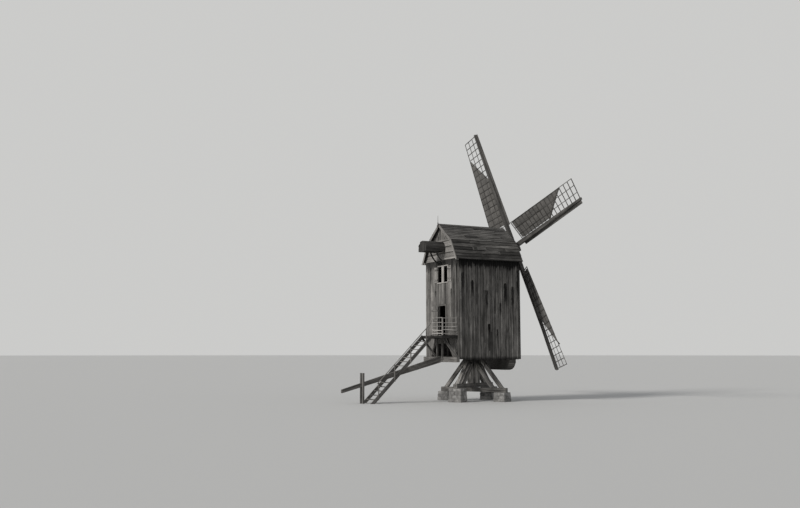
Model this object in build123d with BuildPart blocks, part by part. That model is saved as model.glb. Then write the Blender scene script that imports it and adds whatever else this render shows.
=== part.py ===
from build123d import *
from math import cos, radians, sin, tan
import os

# A timber post mill on an open trestle. The body turns on the post, the sails turn at its
# breast, and the tail carries the door, the porch, the ladder and the tail pole.
# +Z is up, the ground is z = 0 and the post stands on the Z axis.
# The breast faces -Y and the tail faces +Y.

os.makedirs("parts", exist_ok=True)

# Fits
seat_gap = 0.3
bearing_gap = 0.3
post_clearance = 40.0

# Trestle
pier_height = 600.0
pier_length = 760.0
pier_width = 900.0
pier_batter = 45.0
pier_radius = 2120.0
crosstree_lean = 30.0
crosstree_depth = 280.0
crosstree_width = 300.0
crosstree_end = 330.0
crosstree_chamfer = 20.0
quarterbar_width = 220.0
quarterbar_depth = 230.0
outer_bar_foot = 2230.0
outer_bar_head = 3250.0
inner_bar_foot = 1560.0
inner_bar_head = 2560.0
post_width = 620.0
post_round_start = 3330.0
post_top_diameter = 520.0
pintle_diameter = 150.0
pintle_height = 160.0

# Body
body_width = 4500.0
tail_face = 2350.0
breast_face = 2250.0
body_bottom = 2750.0
wall_height = 6550.0
board = 40.0
corner_post = 200.0
stud_depth = 110.0
stud_width = 120.0
stud_offset = 760.0
sill_depth = 200.0
plate_width = 200.0
plate_depth = 260.0
skirt_depth = 1530.0
storey_height = 2720.0
floor_board = 50.0
sheer_depth = 350.0
sheer_width = 240.0
sheer_gap = 25.0
floor_rail_depth = 200.0
crown_depth = 520.0
crown_width = 540.0
girt_depth = 420.0
girt_width = 220.0

# Roof
break_rise = 1100.0
break_inset = 620.0
ridge_rise = 2290.0
roof_board = 60.0
eaves_overhang = 170.0
tail_overhang = 230.0
breast_overhang = 160.0
verge_width = 150.0
verge_thickness = 35.0
finial_height = 560.0
finial_tail = 260.0
finial_diameter = 70.0
spike_diameter = 28.0
spike_tip = 14.0

# Timbers on the face of the tail gable
gable_timber = 110.0
gable_thickness = 55.0
collar_rise = 1185.0
strut_foot = 620.0
king_post = 100.0
plate_end = 130.0
plate_end_reach = 190.0

# Breast apron
apron_drop = 700.0
apron_inset = 560.0
apron_radius = 660.0
apron_depth = 470.0

# Door and porch
door_centre = -90.0
door_width = 870.0
door_height = 1960.0
door_thickness = 45.0
door_clearance = 6.0
hinge_offset = 22.0
hinge_pin = 16.0
hinge_knuckle = 28.0
hinge_height = 60.0
hinge_levels = (330.0, 1600.0)
strap_length = 620.0
strap_height = 50.0
strap_thickness = 10.0
frame_width = 90.0
frame_thickness = 60.0
porch_length = 1150.0
porch_inset = 200.0
porch_right = 900.0
porch_board = 45.0
porch_beam = 150.0
rail_post = 80.0
rail_height = 1120.0
rail_depth = 60.0
rail_thickness = 40.0
rail_levels = (120.0, 330.0, 550.0, 800.0)
knee_depth = 110.0
knee_set_back = 35.0

# Tail frame under the porch
void_top_rise = 1000.0
void_top_left = 760.0
void_top_right = 900.0
void_bottom_left = 1680.0
void_bottom_right = 1520.0
tail_sill_depth = 340.0
tail_sill_width = 220.0
tail_sill_drop = 190.0
void_post = 110.0
void_post_places = (-80.0, 620.0)

# Hatch and hoist hood
hatch_rise = 790.0
hatch_height = 1050.0
hatch_width = 480.0
mullion_width = 300.0
hatch_centre = -130.0
hatch_sill = 70.0
shutter_thickness = 35.0
shutter_swing_gap = 25.0
hood_width = 1000.0
hood_height = 660.0
hood_length = 1450.0
hood_rise = 500.0
hood_board = 30.0
hoist_beam = 150.0
bracket_places = (-400.0, 400.0)
bracket_reach = 700.0
bracket_drop = 860.0
bracket_width = 80.0
bracket_foot = 130.0
bracket_bow = 105.0

# Small holes in the boards
loop_hole = 110.0
tail_loops = ((-1230.0, 4500.0), (840.0, 4470.0))
side_loops = ((1380.0, 5010.0), (-1110.0, 4890.0))
side_slot = (150.0, 2080.0)
slot_height = 380.0

# Tail pole
pole_reach = 7150.0
pole_drop = 2010.0
pole_depth = 400.0
pole_width = 300.0
pole_tip_depth = 210.0
pole_tip_width = 180.0
leg_place = 5750.0
leg_height = 1900.0
leg_width = 120.0
leg_pin = 60.0
ground_gap = 12.0

# Ladder
ladder_width = 1360.0
ladder_run = 4150.0
string_depth = 220.0
string_width = 70.0
tread_depth = 230.0
tread_thickness = 45.0
tread_count = 15
pole_gap = 35.0
ladder_gap = 20.0
ladder_pin = 36.0
ladder_pin_out = 75.0
ladder_top_drop = 100.0
ladder_plate = 30.0
ladder_plate_height = 110.0
ladder_lift = 2.0
handrail_height = 950.0
handrail_diameter = 60.0
handrail_post = 70.0
handrail_posts = (0.1, 0.37, 0.64, 0.91)
handrail_set_back = 90.0
handrail_share = 0.93
plate_gap = 6.0

# Windshaft
hub_out = 1000.0
hub_rise = 1000.0
shaft_tilt = 12.0
poll_width = 560.0
poll_front = 430.0
poll_back = 330.0
poll_corner = 40.0
neck_diameter = 400.0
neck_shoulder = 25.0
shaft_diameter = 440.0
shaft_tail_diameter = 320.0
gudgeon_diameter = 120.0
gudgeon_length = 240.0
bearing_wall = 100.0
bearing_width = 260.0
weather_beam_width = 300.0
tail_beam_place = 1500.0
tail_beam_width = 260.0
tail_beam_depth = 280.0
shaft_hole_clearance = 60.0

# Sails
sail_radius = 8800.0
sail_lean = 15.0
stock_depth = 240.0
stock_width = 280.0
stock_tip_depth = 110.0
stock_tip_width = 150.0
stock_pitch = 300.0
stock_straight = 700.0
heel_radius = 1750.0
tip_margin = 90.0
sail_width = 1400.0
heel_weather = 21.0
tip_weather = 5.0
bar_count = 17
bar_width = 45.0
bar_thickness = 36.0
uplong_count = 3
uplong_width = 40.0
uplong_thickness = 24.0
leading_width = 290.0
leading_thickness = 22.0
cloth_start = 90.0
cloth_share = 0.50
cloth_edge_share = 0.80
cloth_thickness = 5.0
cloth_gap = 0.4
cloth_hem = 30.0

# Levels and places that follow from the sizes above
half_width = body_width / 2
inner_half = half_width - board
porch_left = half_width - porch_inset
eaves = body_bottom + wall_height
lower_floor = body_bottom + skirt_depth
upper_floor = lower_floor + storey_height
crown_bottom = upper_floor - floor_board - crown_depth
upper_crosstree_bottom = pier_height + crosstree_depth
crosstree_top = upper_crosstree_bottom + seat_gap + crosstree_depth
break_half_width = half_width - break_inset
tail_inside = tail_face - board
breast_inside = breast_face - board
shaft_inward = Vector(0, cos(radians(shaft_tilt)), -sin(radians(shaft_tilt)))
hub = Vector(0, -breast_face - hub_out, eaves + hub_rise)
shaft_plane = Plane(origin=hub, x_dir=(1, 0, 0), z_dir=shaft_inward)


def finish(piece, name):
    """Label a finished piece and write its file."""
    piece.part.label = name
    export_step(piece.part, f"parts/{name}.step")


def timber(x, y, z):
    """A squared timber between the given low and high values along each axis."""
    with Locations(((x[0] + x[1]) / 2, (y[0] + y[1]) / 2, (z[0] + z[1]) / 2)):
        Box(abs(x[1] - x[0]), abs(y[1] - y[0]), abs(z[1] - z[0]))


def cross_plane(y):
    """A plane across the mill at y, seen from the breast: its x is X and its y is Z."""
    return Plane(origin=(0, y, 0), x_dir=(1, 0, 0), z_dir=(0, -1, 0))


def side_plane(x):
    """A plane along the mill at x: its x is Y and its y is Z."""
    return Plane(origin=(x, 0, 0), x_dir=(0, 1, 0), z_dir=(1, 0, 0))


def roof_points(lift, overhang=0.0):
    """Ridge, break and eaves points of the roof's right slope, lifted square to it."""
    eave = Vector(half_width, eaves)
    bend = Vector(break_half_width, eaves + break_rise)
    ridge = Vector(0, eaves + ridge_rise)
    down = (eave - bend).normalized()
    lower_normal = Vector(-down.Y, down.X)
    fall = (bend - ridge).normalized()
    upper_normal = Vector(-fall.Y, fall.X)
    mitre = (lower_normal + upper_normal) / (1 + lower_normal.dot(upper_normal))
    top = ridge + Vector(0, lift / upper_normal.Y)
    return top, bend + mitre * lift, eave + lower_normal * lift + down * overhang


def roof_inside_x(z):
    """Half width of the roof space at height z, below the break."""
    return half_width - (z - eaves) * break_inset / break_rise


def shaft_height(y):
    """Height of the windshaft's axis where it crosses y."""
    return hub.Z - (y - hub.Y) * tan(radians(shaft_tilt))


# Trestle


def crosstree_plane(index):
    """Plane along one arm of the trestle: its x runs outward and its y is Z."""
    angle = crosstree_lean + 90 * index
    outward = Vector(cos(radians(angle)), sin(radians(angle)), 0)
    return Plane(origin=(0, 0, 0), x_dir=outward, z_dir=outward.cross(Vector(0, 0, 1)))


def build_piers():
    with BuildPart() as piers:
        for index in range(4):
            height = pier_height if index % 2 == 0 else upper_crosstree_bottom + seat_gap
            angle = crosstree_lean + 90 * index
            centre = Vector(pier_radius, 0).rotate(Axis.Z, angle)
            ground = Plane(origin=centre, x_dir=centre, z_dir=(0, 0, 1))
            with BuildSketch(ground):
                Rectangle(pier_length + 2 * pier_batter, pier_width + 2 * pier_batter)
            with BuildSketch(ground.offset(height)):
                Rectangle(pier_length, pier_width)
            loft(ruled=True)
    finish(piers, "piers")


def build_crosstrees():
    """Two timbers that cross under the post, the upper one resting on the lower."""
    reach = pier_radius + crosstree_end
    with BuildPart() as crosstrees:
        for index, bottom in ((0, pier_height), (1, upper_crosstree_bottom + seat_gap)):
            with BuildSketch(crosstree_plane(index).offset(-crosstree_width / 2)):
                Polygon(
                    (-reach, bottom),
                    (reach, bottom),
                    (reach, bottom + crosstree_depth - crosstree_chamfer),
                    (reach - crosstree_chamfer, bottom + crosstree_depth),
                    (crosstree_chamfer - reach, bottom + crosstree_depth),
                    (-reach, bottom + crosstree_depth - crosstree_chamfer),
                    align=None,
                )
            extrude(amount=crosstree_width)
    finish(crosstrees, "crosstrees")


def quarterbar_profile(foot, head, bottom):
    """Corners of a raking bar, level at its foot and plumb where it meets the post."""
    face = post_width / 2
    rake = Vector(face - foot, head - bottom).normalized()
    plumb_depth = quarterbar_depth / abs(rake.X)
    level_depth = quarterbar_depth / rake.Y
    return (
        (foot, bottom),
        (foot - level_depth, bottom),
        (face, head - plumb_depth),
        (face, head),
    )


def build_quarterbars():
    """Two raking bars on each arm of the crosstrees, the outer above the inner."""
    with BuildPart() as bars:
        for foot, head in ((outer_bar_foot, outer_bar_head), (inner_bar_foot, inner_bar_head)):
            for index in range(4):
                bottom = upper_crosstree_bottom if index % 2 == 0 else crosstree_top
                with BuildSketch(crosstree_plane(index)):
                    Polygon(*quarterbar_profile(foot, head, bottom), align=None)
                extrude(amount=quarterbar_width / 2, both=True)
    finish(bars, "quarterbars")


def build_main_post():
    with BuildPart() as post:
        with BuildSketch(Plane.XY.offset(crosstree_top)):
            Rectangle(post_width, post_width, rotation=crosstree_lean)
        extrude(amount=post_round_start - crosstree_top)
        with BuildSketch(Plane.XY.offset(post_round_start)):
            Circle(post_width / 2)
        with BuildSketch(Plane.XY.offset(crown_bottom - bearing_gap)):
            Circle(post_top_diameter / 2)
        loft()
        with BuildSketch(Plane.XY.offset(crown_bottom - bearing_gap)):
            Circle(pintle_diameter / 2)
        extrude(amount=pintle_height)
    finish(post, "main_post")


# Body frame


def build_sheers():
    inner = post_width / 2 + sheer_gap
    top = lower_floor - floor_board
    with BuildPart() as sheers:
        for side in (-1, 1):
            timber(
                (side * inner, side * (inner + sheer_width)),
                (-breast_inside, tail_inside),
                (top - sheer_depth, top),
            )
    finish(sheers, "sheers")


def build_crown_tree():
    reach = inner_half - girt_width
    with BuildPart() as crown:
        timber((-reach, reach), (-crown_width / 2, crown_width / 2), (crown_bottom, crown_bottom + crown_depth))
        with BuildSketch(Plane.XY.offset(crown_bottom)):
            Circle(pintle_diameter / 2 + bearing_gap)
        extrude(amount=pintle_height + bearing_gap, mode=Mode.SUBTRACT)
    finish(crown, "crown_tree")


def side_rails():
    """Width, run, bottom and depth of each long timber inside a side wall."""
    between = (corner_post - breast_inside, tail_inside - corner_post)
    whole = (-breast_inside, tail_inside)
    return (
        (stud_depth, between, body_bottom, sill_depth),
        (stud_depth, between, lower_floor - floor_board - floor_rail_depth, floor_rail_depth),
        (girt_width, between, upper_floor - floor_board - girt_depth, girt_depth),
        (plate_width, whole, eaves - plate_depth, plate_depth),
    )


def build_side_rails():
    """Sill, floor rail, side girt and top plate of each side."""
    with BuildPart() as rails:
        for side in (-1, 1):
            for width, run, bottom, depth in side_rails():
                timber((side * inner_half, side * (inner_half - width)), run, (bottom, bottom + depth))
    finish(rails, "side_rails")


def stud_spans():
    """Bottom and top of each length of a side stud, between the long timbers."""
    rails = [(bottom, bottom + depth) for _, _, bottom, depth in side_rails()]
    return [(below[1], above[0]) for below, above in zip(rails, rails[1:])]


def build_wall_posts():
    """Corner posts, and two rows of studs between the long timbers of each side."""
    with BuildPart() as posts:
        for side in (-1, 1):
            for y in (tail_inside - corner_post, -breast_inside):
                timber(
                    (side * inner_half, side * (inner_half - corner_post)),
                    (y, y + corner_post),
                    (body_bottom, eaves - plate_depth),
                )
            for y in (-stud_offset, stud_offset):
                for bottom, top in stud_spans():
                    timber(
                        (side * inner_half, side * (inner_half - stud_depth)),
                        (y - stud_width / 2, y + stud_width / 2),
                        (bottom + seat_gap, top - seat_gap),
                    )
    finish(posts, "wall_posts")


def build_floors():
    length = tail_inside + breast_inside
    middle = (tail_inside - breast_inside) / 2
    with BuildPart() as floors:
        for top in (lower_floor, upper_floor):
            with BuildSketch(Plane.XY.offset(top - floor_board)):
                with Locations((0, middle)):
                    Rectangle(2 * inner_half, length)
                for side in (-1, 1):
                    for y in (-stud_offset, stud_offset):
                        with Locations((side * (inner_half - stud_depth / 2), y)):
                            Rectangle(stud_depth, stud_width, mode=Mode.SUBTRACT)
                    for y in (tail_inside - corner_post / 2, corner_post / 2 - breast_inside):
                        with Locations((side * (inner_half - corner_post / 2), y)):
                            Rectangle(corner_post, corner_post, mode=Mode.SUBTRACT)
                if top == lower_floor:
                    Circle(post_width / 2 + post_clearance, mode=Mode.SUBTRACT)
            extrude(amount=floor_board)
    finish(floors, "floors")


# Walls


def build_side_walls():
    with BuildPart() as walls:
        for side in (-1, 1):
            with BuildSketch(side_plane(side * half_width)):
                Polygon(
                    (-breast_face, body_bottom),
                    (tail_face, body_bottom),
                    (tail_face, eaves),
                    (-breast_face, eaves),
                    align=None,
                )
                for y, rise in side_loops:
                    with Locations((y, body_bottom + rise)):
                        Rectangle(loop_hole, loop_hole, mode=Mode.SUBTRACT)
                with Locations((side_slot[0], body_bottom + side_slot[1])):
                    Rectangle(loop_hole, slot_height, mode=Mode.SUBTRACT)
            extrude(amount=-side * board)
    finish(walls, "side_walls")


def gable_outline(bottom, lift=0.0):
    """Corners of an end wall, from its bottom up to the underside of the roof."""
    ridge, bend, eave = roof_points(lift)
    shoulder = eave.Y + (eave.X - inner_half) * break_rise / break_inset
    right = [(inner_half, bottom), (inner_half, shoulder), (bend.X, bend.Y)]
    left = [(-x, z) for x, z in reversed(right)]
    return right + [(0, ridge.Y)] + left


def build_tail_wall():
    with BuildPart() as wall:
        with BuildSketch(cross_plane(tail_face)):
            Polygon(*gable_outline(body_bottom), align=None)
            with Locations((door_centre, lower_floor + door_height / 2)):
                Rectangle(door_width, door_height, mode=Mode.SUBTRACT)
            for side in (-1, 1):
                with Locations((hatch_slot_x(side), upper_floor + hatch_rise + hatch_height / 2)):
                    Rectangle(hatch_width, hatch_height, mode=Mode.SUBTRACT)
            for x, rise in tail_loops:
                with Locations((x, body_bottom + rise)):
                    Rectangle(loop_hole, loop_hole, mode=Mode.SUBTRACT)
            Polygon(*void_outline(), align=None, mode=Mode.SUBTRACT)
        extrude(amount=board)
    finish(wall, "tail_wall")


def void_outline():
    """Corners of the open space below the porch, in the tail wall."""
    top = body_bottom + void_top_rise
    return (
        (-void_bottom_left, body_bottom),
        (void_bottom_right, body_bottom),
        (void_top_right, top),
        (-void_top_left, top),
    )


def apron_outline(inset):
    """Corner values of the apron: half width, bottom and corner radius."""
    return inner_half - apron_inset - inset, body_bottom - apron_drop + inset, apron_radius - inset


def apron_path(inset):
    """Closed outline of the apron between the body's bottom and its rounded lower edge."""
    half, bottom, radius = apron_outline(inset)
    with BuildLine(Plane.XY) as outline:
        FilletPolyline((-half, body_bottom), (-half, bottom), (half, bottom), (half, body_bottom), radius=radius)
        Line((half, body_bottom), (-half, body_bottom))
    return outline.line


def build_breast_wall():
    with BuildPart() as wall:
        with BuildSketch(cross_plane(-breast_inside)):
            Polygon(*gable_outline(body_bottom), align=None)
            make_face(apron_path(0).edges())
        extrude(amount=board)
        with BuildSketch(shaft_plane):
            Circle(neck_diameter / 2 + shaft_hole_clearance)
        extrude(amount=2 * hub_out, mode=Mode.SUBTRACT)
    finish(wall, "breast_wall")


def build_breast_apron():
    """The curved boards behind the breast's lower edge, closed by a back board."""
    with BuildPart() as apron:
        with BuildSketch(cross_plane(apron_depth - breast_inside)):
            make_face(apron_path(0).edges())
        extrude(amount=board)
        with BuildSketch(cross_plane(apron_depth - breast_inside - board)):
            make_face(apron_path(0).edges())
            make_face(apron_path(board).edges(), mode=Mode.SUBTRACT)
        extrude(amount=apron_depth - board)
    finish(apron, "breast_apron")


# Roof


def build_roof():
    """Two boarded slopes, each steeper below its break, that meet at the ridge."""
    ridge, bend, eave = roof_points(0, eaves_overhang)
    outer_ridge, outer_bend, outer_eave = roof_points(roof_board, eaves_overhang)
    corners = [(p.X, p.Y) for p in (ridge, bend, eave, outer_eave, outer_bend, outer_ridge)]
    with BuildPart() as roof:
        for side in (-1, 1):
            with BuildSketch(cross_plane(tail_face + tail_overhang)):
                Polygon(*[(side * (x + seat_gap / 2), z) for x, z in corners], align=None)
            extrude(amount=tail_face + tail_overhang + breast_face + breast_overhang)
    finish(roof, "roof")


def build_verges():
    """Boards that cover the edges of the roof at both gables."""
    outer = roof_points(roof_board, eaves_overhang)
    inner = roof_points(roof_board - verge_width, eaves_overhang)
    with BuildPart() as verges:
        for face, away in ((tail_face + tail_overhang + verge_thickness, 1), (-breast_face - breast_overhang, -1)):
            for side in (-1, 1):
                corners = [(side * p.X, p.Y) for p in (*outer, *reversed(inner))]
                with BuildSketch(cross_plane(face)):
                    Polygon(*corners, align=None)
                extrude(amount=verge_thickness)
    finish(verges, "verge_boards")


def build_finial():
    """A turned spike on a short post that is nailed to the verge boards at the ridge."""
    top = roof_points(roof_board)[0].Y
    radius = finial_diameter / 2
    y = tail_face + tail_overhang + verge_thickness + radius
    with BuildPart() as finial:
        with BuildSketch(side_plane(0)):
            Polygon(
                (y, top - finial_tail),
                (y + radius, top - finial_tail),
                (y + radius, top + finial_diameter),
                (y + spike_diameter / 2, top + 2 * finial_diameter),
                (y + spike_tip / 2, top + finial_height),
                (y, top + finial_height),
                align=None,
            )
        revolve(axis=Axis((0, y, 0), (0, 0, 1)))
    finish(finial, "finial")


def build_gable_frame():
    """Timbers on the tail gable: a rail at the eaves between the ends of the plates, a collar,
    a king post and two struts."""
    ridge = roof_points(-seat_gap)[0].Y
    collar = eaves + collar_rise
    with BuildPart() as frame:
        with BuildSketch(cross_plane(tail_face + gable_thickness)):
            with Locations((0, eaves)):
                Rectangle(2 * inner_half, gable_timber)
            with Locations((0, collar + gable_timber / 2)):
                Rectangle(2 * inner_half, gable_timber)
            with Locations((0, (collar + ridge) / 2)):
                Rectangle(king_post, ridge - collar)
            for side in (-1, 1):
                Polygon(
                    (side * strut_foot, collar),
                    (side * (strut_foot + king_post), collar),
                    (side * king_post, ridge),
                    (0, ridge),
                    align=None,
                )
            Polygon(*gable_outline(eaves - gable_timber, -seat_gap), align=None, mode=Mode.INTERSECT)
        extrude(amount=gable_thickness)
        for side in (-1, 1):
            timber(
                (side * (half_width - plate_end), side * half_width),
                (tail_face, tail_face + plate_end_reach),
                (eaves - gable_timber / 2 - plate_end, eaves - gable_timber / 2),
            )
    finish(frame, "gable_frame")


# Windshaft and its bearings


def shaft_distance(y):
    """Distance along the shaft from the hub to where its axis crosses y."""
    return (y - hub.Y) / cos(radians(shaft_tilt))


def weather_middle():
    """Middle of the weather beam, which carries the shaft's neck behind the breast."""
    return weather_beam_width / 2 - breast_inside


def build_windshaft():
    neck = neck_diameter / 2
    neck_end = shaft_distance(weather_middle()) + bearing_width / 2 + neck_shoulder
    neck_end += shaft_diameter / 2 * tan(radians(shaft_tilt))
    body_end = shaft_distance(tail_beam_place) - gudgeon_length / 2
    lengthways = Plane(origin=hub, x_dir=(1, 0, 0), z_dir=Vector(1, 0, 0).cross(shaft_inward))
    with BuildPart() as shaft:
        with BuildSketch(shaft_plane.offset(-poll_front)):
            RectangleRounded(poll_width, poll_width, poll_corner, rotation=-sail_lean)
        extrude(amount=poll_front + poll_back)
        with BuildSketch(lengthways):
            Polygon(
                (0, poll_back),
                (neck, poll_back),
                (neck, neck_end),
                (shaft_diameter / 2, neck_end),
                (shaft_tail_diameter / 2, body_end),
                (gudgeon_diameter / 2, body_end),
                (gudgeon_diameter / 2, body_end + gudgeon_length),
                (0, body_end + gudgeon_length),
                align=None,
            )
        revolve(axis=Axis(hub, shaft_inward))
        for index in (0, 1):
            with BuildSketch(sail_plane(index)):
                Rectangle(2 * poll_width, stock_width + 2 * seat_gap)
            extrude(amount=stock_depth / 2 + seat_gap, both=True, mode=Mode.SUBTRACT)
    finish(shaft, "windshaft")


def build_shaft_supports():
    weather_y = weather_middle()
    weather_top = shaft_height(weather_y) - neck_diameter / 2 - bearing_wall
    low = roof_inside_x(eaves) - board
    high = roof_inside_x(weather_top) - board
    tail_top = shaft_height(tail_beam_place) - gudgeon_diameter / 2 - bearing_wall
    reach = inner_half - plate_width
    with BuildPart() as beams:
        with BuildSketch(cross_plane(weather_y + weather_beam_width / 2)):
            Polygon((-low, eaves), (low, eaves), (high, weather_top), (-high, weather_top), align=None)
        extrude(amount=weather_beam_width)
        timber(
            (-reach, reach),
            (tail_beam_place - tail_beam_width / 2, tail_beam_place + tail_beam_width / 2),
            (tail_top - tail_beam_depth, tail_top),
        )
    finish(beams, "shaft_beams")

    with BuildPart() as bearings:
        for y, top, diameter, width in (
            (weather_y, weather_top, neck_diameter, bearing_width),
            (tail_beam_place, tail_top, gudgeon_diameter, gudgeon_length - bearing_wall),
        ):
            reach = diameter / 2 + bearing_wall
            timber((-reach, reach), (y - width / 2, y + width / 2), (top, shaft_height(y)))
            with BuildSketch(shaft_plane.offset(shaft_distance(y) - bearing_width)):
                Circle(diameter / 2 + bearing_gap)
            extrude(amount=2 * bearing_width, mode=Mode.SUBTRACT)
    finish(bearings, "shaft_bearings")


# Sails


def sail_plane(index):
    """Plane of sail number index: x runs out along its stock, y to its trailing edge,
    and z points back to the body. Sails 0 and 2 share the front stock."""
    angle = radians(sail_lean + 90 * index)
    tilt = radians(shaft_tilt)
    up = Vector(0, sin(tilt), cos(tilt))
    outward = up * cos(angle) + Vector(1, 0, 0) * sin(angle)
    offset = -stock_pitch / 2 if index % 2 == 0 else stock_pitch / 2
    return Plane(origin=hub + shaft_inward * offset, x_dir=outward, z_dir=shaft_inward)


def stock_half_width(x):
    """Half width of a stock at distance x from the hub."""
    share = (x - stock_straight) / (sail_radius - stock_straight)
    return (stock_width + (stock_tip_width - stock_width) * share) / 2


def weather_slope(x):
    """Rise of the sail's surface for each unit of its width, at distance x."""
    heel = tan(radians(heel_weather))
    tip = tan(radians(tip_weather))
    return heel + (tip - heel) * (x - heel_radius) / (sail_tip() - heel_radius)


def sail_tip():
    return sail_radius - tip_margin


def build_stocks():
    """Two timbers through the poll end, each tapered to both of its tips."""
    with BuildPart() as stocks:
        for index in (0, 1):
            plane = sail_plane(index)
            across = Plane(origin=plane.origin, x_dir=plane.y_dir, z_dir=plane.x_dir)
            with BuildSketch(across.offset(-stock_straight)):
                Rectangle(stock_width, stock_depth)
            extrude(amount=2 * stock_straight)
            for direction in (-1, 1):
                with BuildSketch(across.offset(direction * stock_straight)):
                    Rectangle(stock_width, stock_depth)
                with BuildSketch(across.offset(direction * sail_radius)):
                    Rectangle(stock_tip_width, stock_tip_depth)
                loft(ruled=True)
    finish(stocks, "stocks")


def bar_places():
    span = sail_tip() - heel_radius
    return [heel_radius + span * step / (bar_count - 1) for step in range(bar_count)]


def build_sail_frames():
    """Each frame is one lattice: bars out of the stock, crossed by straight uplongs."""
    for index, letter in enumerate("abcd"):
        plane = sail_plane(index)
        with BuildPart() as sail:
            for x in bar_places():
                slope = weather_slope(x)
                start = stock_half_width(x - bar_width / 2) + bar_thickness / 2 * slope + seat_gap
                along = Vector(0, 1, slope).normalized()
                reach = (sail_width - start) / along.Y
                normal = Vector(0, -slope, 1).normalized()
                origin = plane.from_local_coords(Vector(x, start, start * slope))
                bar_plane = Plane(
                    origin=origin,
                    x_dir=plane.x_dir,
                    z_dir=plane.y_dir * along.Y + plane.z_dir * along.Z,
                )
                with BuildSketch(bar_plane):
                    Rectangle(bar_width, bar_thickness)
                extrude(amount=reach)
            for step in range(1, uplong_count + 1):
                y = sail_width * step / uplong_count - (uplong_width / 2 if step == uplong_count else 0)
                heel = plane.from_local_coords(Vector(heel_radius, y, y * weather_slope(heel_radius)))
                tip = plane.from_local_coords(Vector(sail_tip(), y, y * weather_slope(sail_tip())))
                middle = (weather_slope(heel_radius) + weather_slope(sail_tip())) / 2
                across = plane.y_dir + plane.z_dir * middle
                run = (tip - heel).normalized()
                across = across - run * across.dot(run)
                with BuildSketch(Plane(origin=heel - run * bar_width / 2, x_dir=across, z_dir=run)):
                    Rectangle(uplong_width, uplong_thickness)
                extrude(amount=(tip - heel).length + bar_width)
        finish(sail, f"sail_frame_{letter}")


def build_leading_boards():
    """A board along the leading side of each stock, tilted as the sail is at its heel."""
    heel = heel_radius - bar_width
    tip = sail_tip() + bar_width / 2
    with BuildPart() as boards:
        for index in range(4):
            plane = sail_plane(index)
            across = Plane(origin=plane.origin, x_dir=plane.y_dir, z_dir=plane.x_dir)
            for x in (heel, tip):
                slope = weather_slope(x)
                inner = -stock_half_width(x) - seat_gap
                outer = -leading_width
                half = leading_thickness / 2
                corners = (
                    (inner, inner * slope - half),
                    (inner, inner * slope + half),
                    (outer, outer * slope + half),
                    (outer, outer * slope - half),
                )
                with BuildSketch(across.offset(x)):
                    Polygon(*corners, align=None)
            loft(ruled=True)
    finish(boards, "leading_boards")


def build_cloths():
    """Each cloth lies on the wind side of its lattice, from near the heel outward, and
    reaches further along its trailing edge than beside the stock."""
    start = heel_radius + cloth_start
    near = heel_radius + cloth_share * (sail_tip() - heel_radius)
    far = heel_radius + cloth_edge_share * (sail_tip() - heel_radius)
    inner = stock_half_width(start) + cloth_hem
    bar_twist = (weather_slope(start) - weather_slope(start + bar_width / 2)) * sail_width
    back = bar_thickness / 2 + bar_twist + cloth_gap
    for index, letter in enumerate("abcd"):
        plane = sail_plane(index)
        with BuildPart() as cloth:
            for stock_side, trailing_side in ((start, start), (near, far)):
                skew = Vector(trailing_side - stock_side, sail_width - inner)
                along = (plane.x_dir * skew.X + plane.y_dir * skew.Y).normalized()
                origin = plane.from_local_coords(Vector(stock_side, inner, 0))
                section = Plane(origin=origin, x_dir=along, z_dir=along.cross(plane.z_dir))
                slopes = (weather_slope(stock_side), weather_slope(trailing_side))
                stretch = [(1 + slope * slope) ** 0.5 for slope in slopes]
                level = (inner * slopes[0], sail_width * slopes[1])
                front = back + cloth_thickness
                corners = (
                    (0, level[0] - back * stretch[0]),
                    (skew.length, level[1] - back * stretch[1]),
                    (skew.length, level[1] - front * stretch[1]),
                    (0, level[0] - front * stretch[0]),
                )
                with BuildSketch(section):
                    Polygon(*corners, align=None)
            loft(ruled=True)
        finish(cloth, f"sail_cloth_{letter}")


# Door, hatch and hoist hood


def door_hinge():
    """Where the door's upright hinge line stands, off the face of the frame."""
    return Vector(door_centre + door_width / 2, tail_face + frame_thickness + hinge_offset)


def build_door_frame():
    outer_width = door_width + 2 * frame_width
    hinge = door_hinge()
    with BuildPart() as frame:
        with BuildSketch(cross_plane(tail_face + frame_thickness)):
            with Locations((door_centre, lower_floor + (door_height + frame_width) / 2)):
                Rectangle(outer_width, door_height + frame_width)
            with Locations((door_centre, lower_floor + door_height / 2)):
                Rectangle(door_width, door_height, mode=Mode.SUBTRACT)
        extrude(amount=frame_thickness)
        for level in hinge_levels:
            z = lower_floor + level
            timber(
                (hinge.X - hinge_pin / 4, hinge.X + hinge_knuckle),
                (tail_face + frame_thickness, hinge.Y),
                (z - hinge_height / 2, z),
            )
            with Locations((hinge.X, hinge.Y, z + hinge_height / 4)):
                Cylinder(hinge_pin / 2, 1.5 * hinge_height)
    finish(frame, "door_frame")


def build_door():
    """The leaf stands open, turned back flat against the wall beside its frame."""
    hinge = door_hinge()
    width = door_width - 2 * door_clearance
    face = hinge.Y + hinge_offset
    start = hinge.X + door_clearance
    with BuildPart() as door:
        timber(
            (start, start + width),
            (face, face + door_thickness),
            (lower_floor + door_clearance, lower_floor + door_height - door_clearance),
        )
        for level in hinge_levels:
            bottom = lower_floor + level + bearing_gap
            timber(
                (hinge.X, hinge.X + strap_length),
                (face - strap_thickness, face),
                (bottom, bottom + strap_height),
            )
            with Locations((hinge.X, hinge.Y, bottom + hinge_height / 2)):
                Cylinder(hinge_knuckle / 2, hinge_height)
            with Locations((hinge.X, hinge.Y, bottom + hinge_height / 2)):
                Cylinder(hinge_pin / 2 + bearing_gap, hinge_height, mode=Mode.SUBTRACT)
    finish(door, "door_leaf")


def hatch_slot_x(side):
    """Middle of one of the two hatch openings."""
    return hatch_centre + side * (mullion_width + hatch_width) / 2


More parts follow.
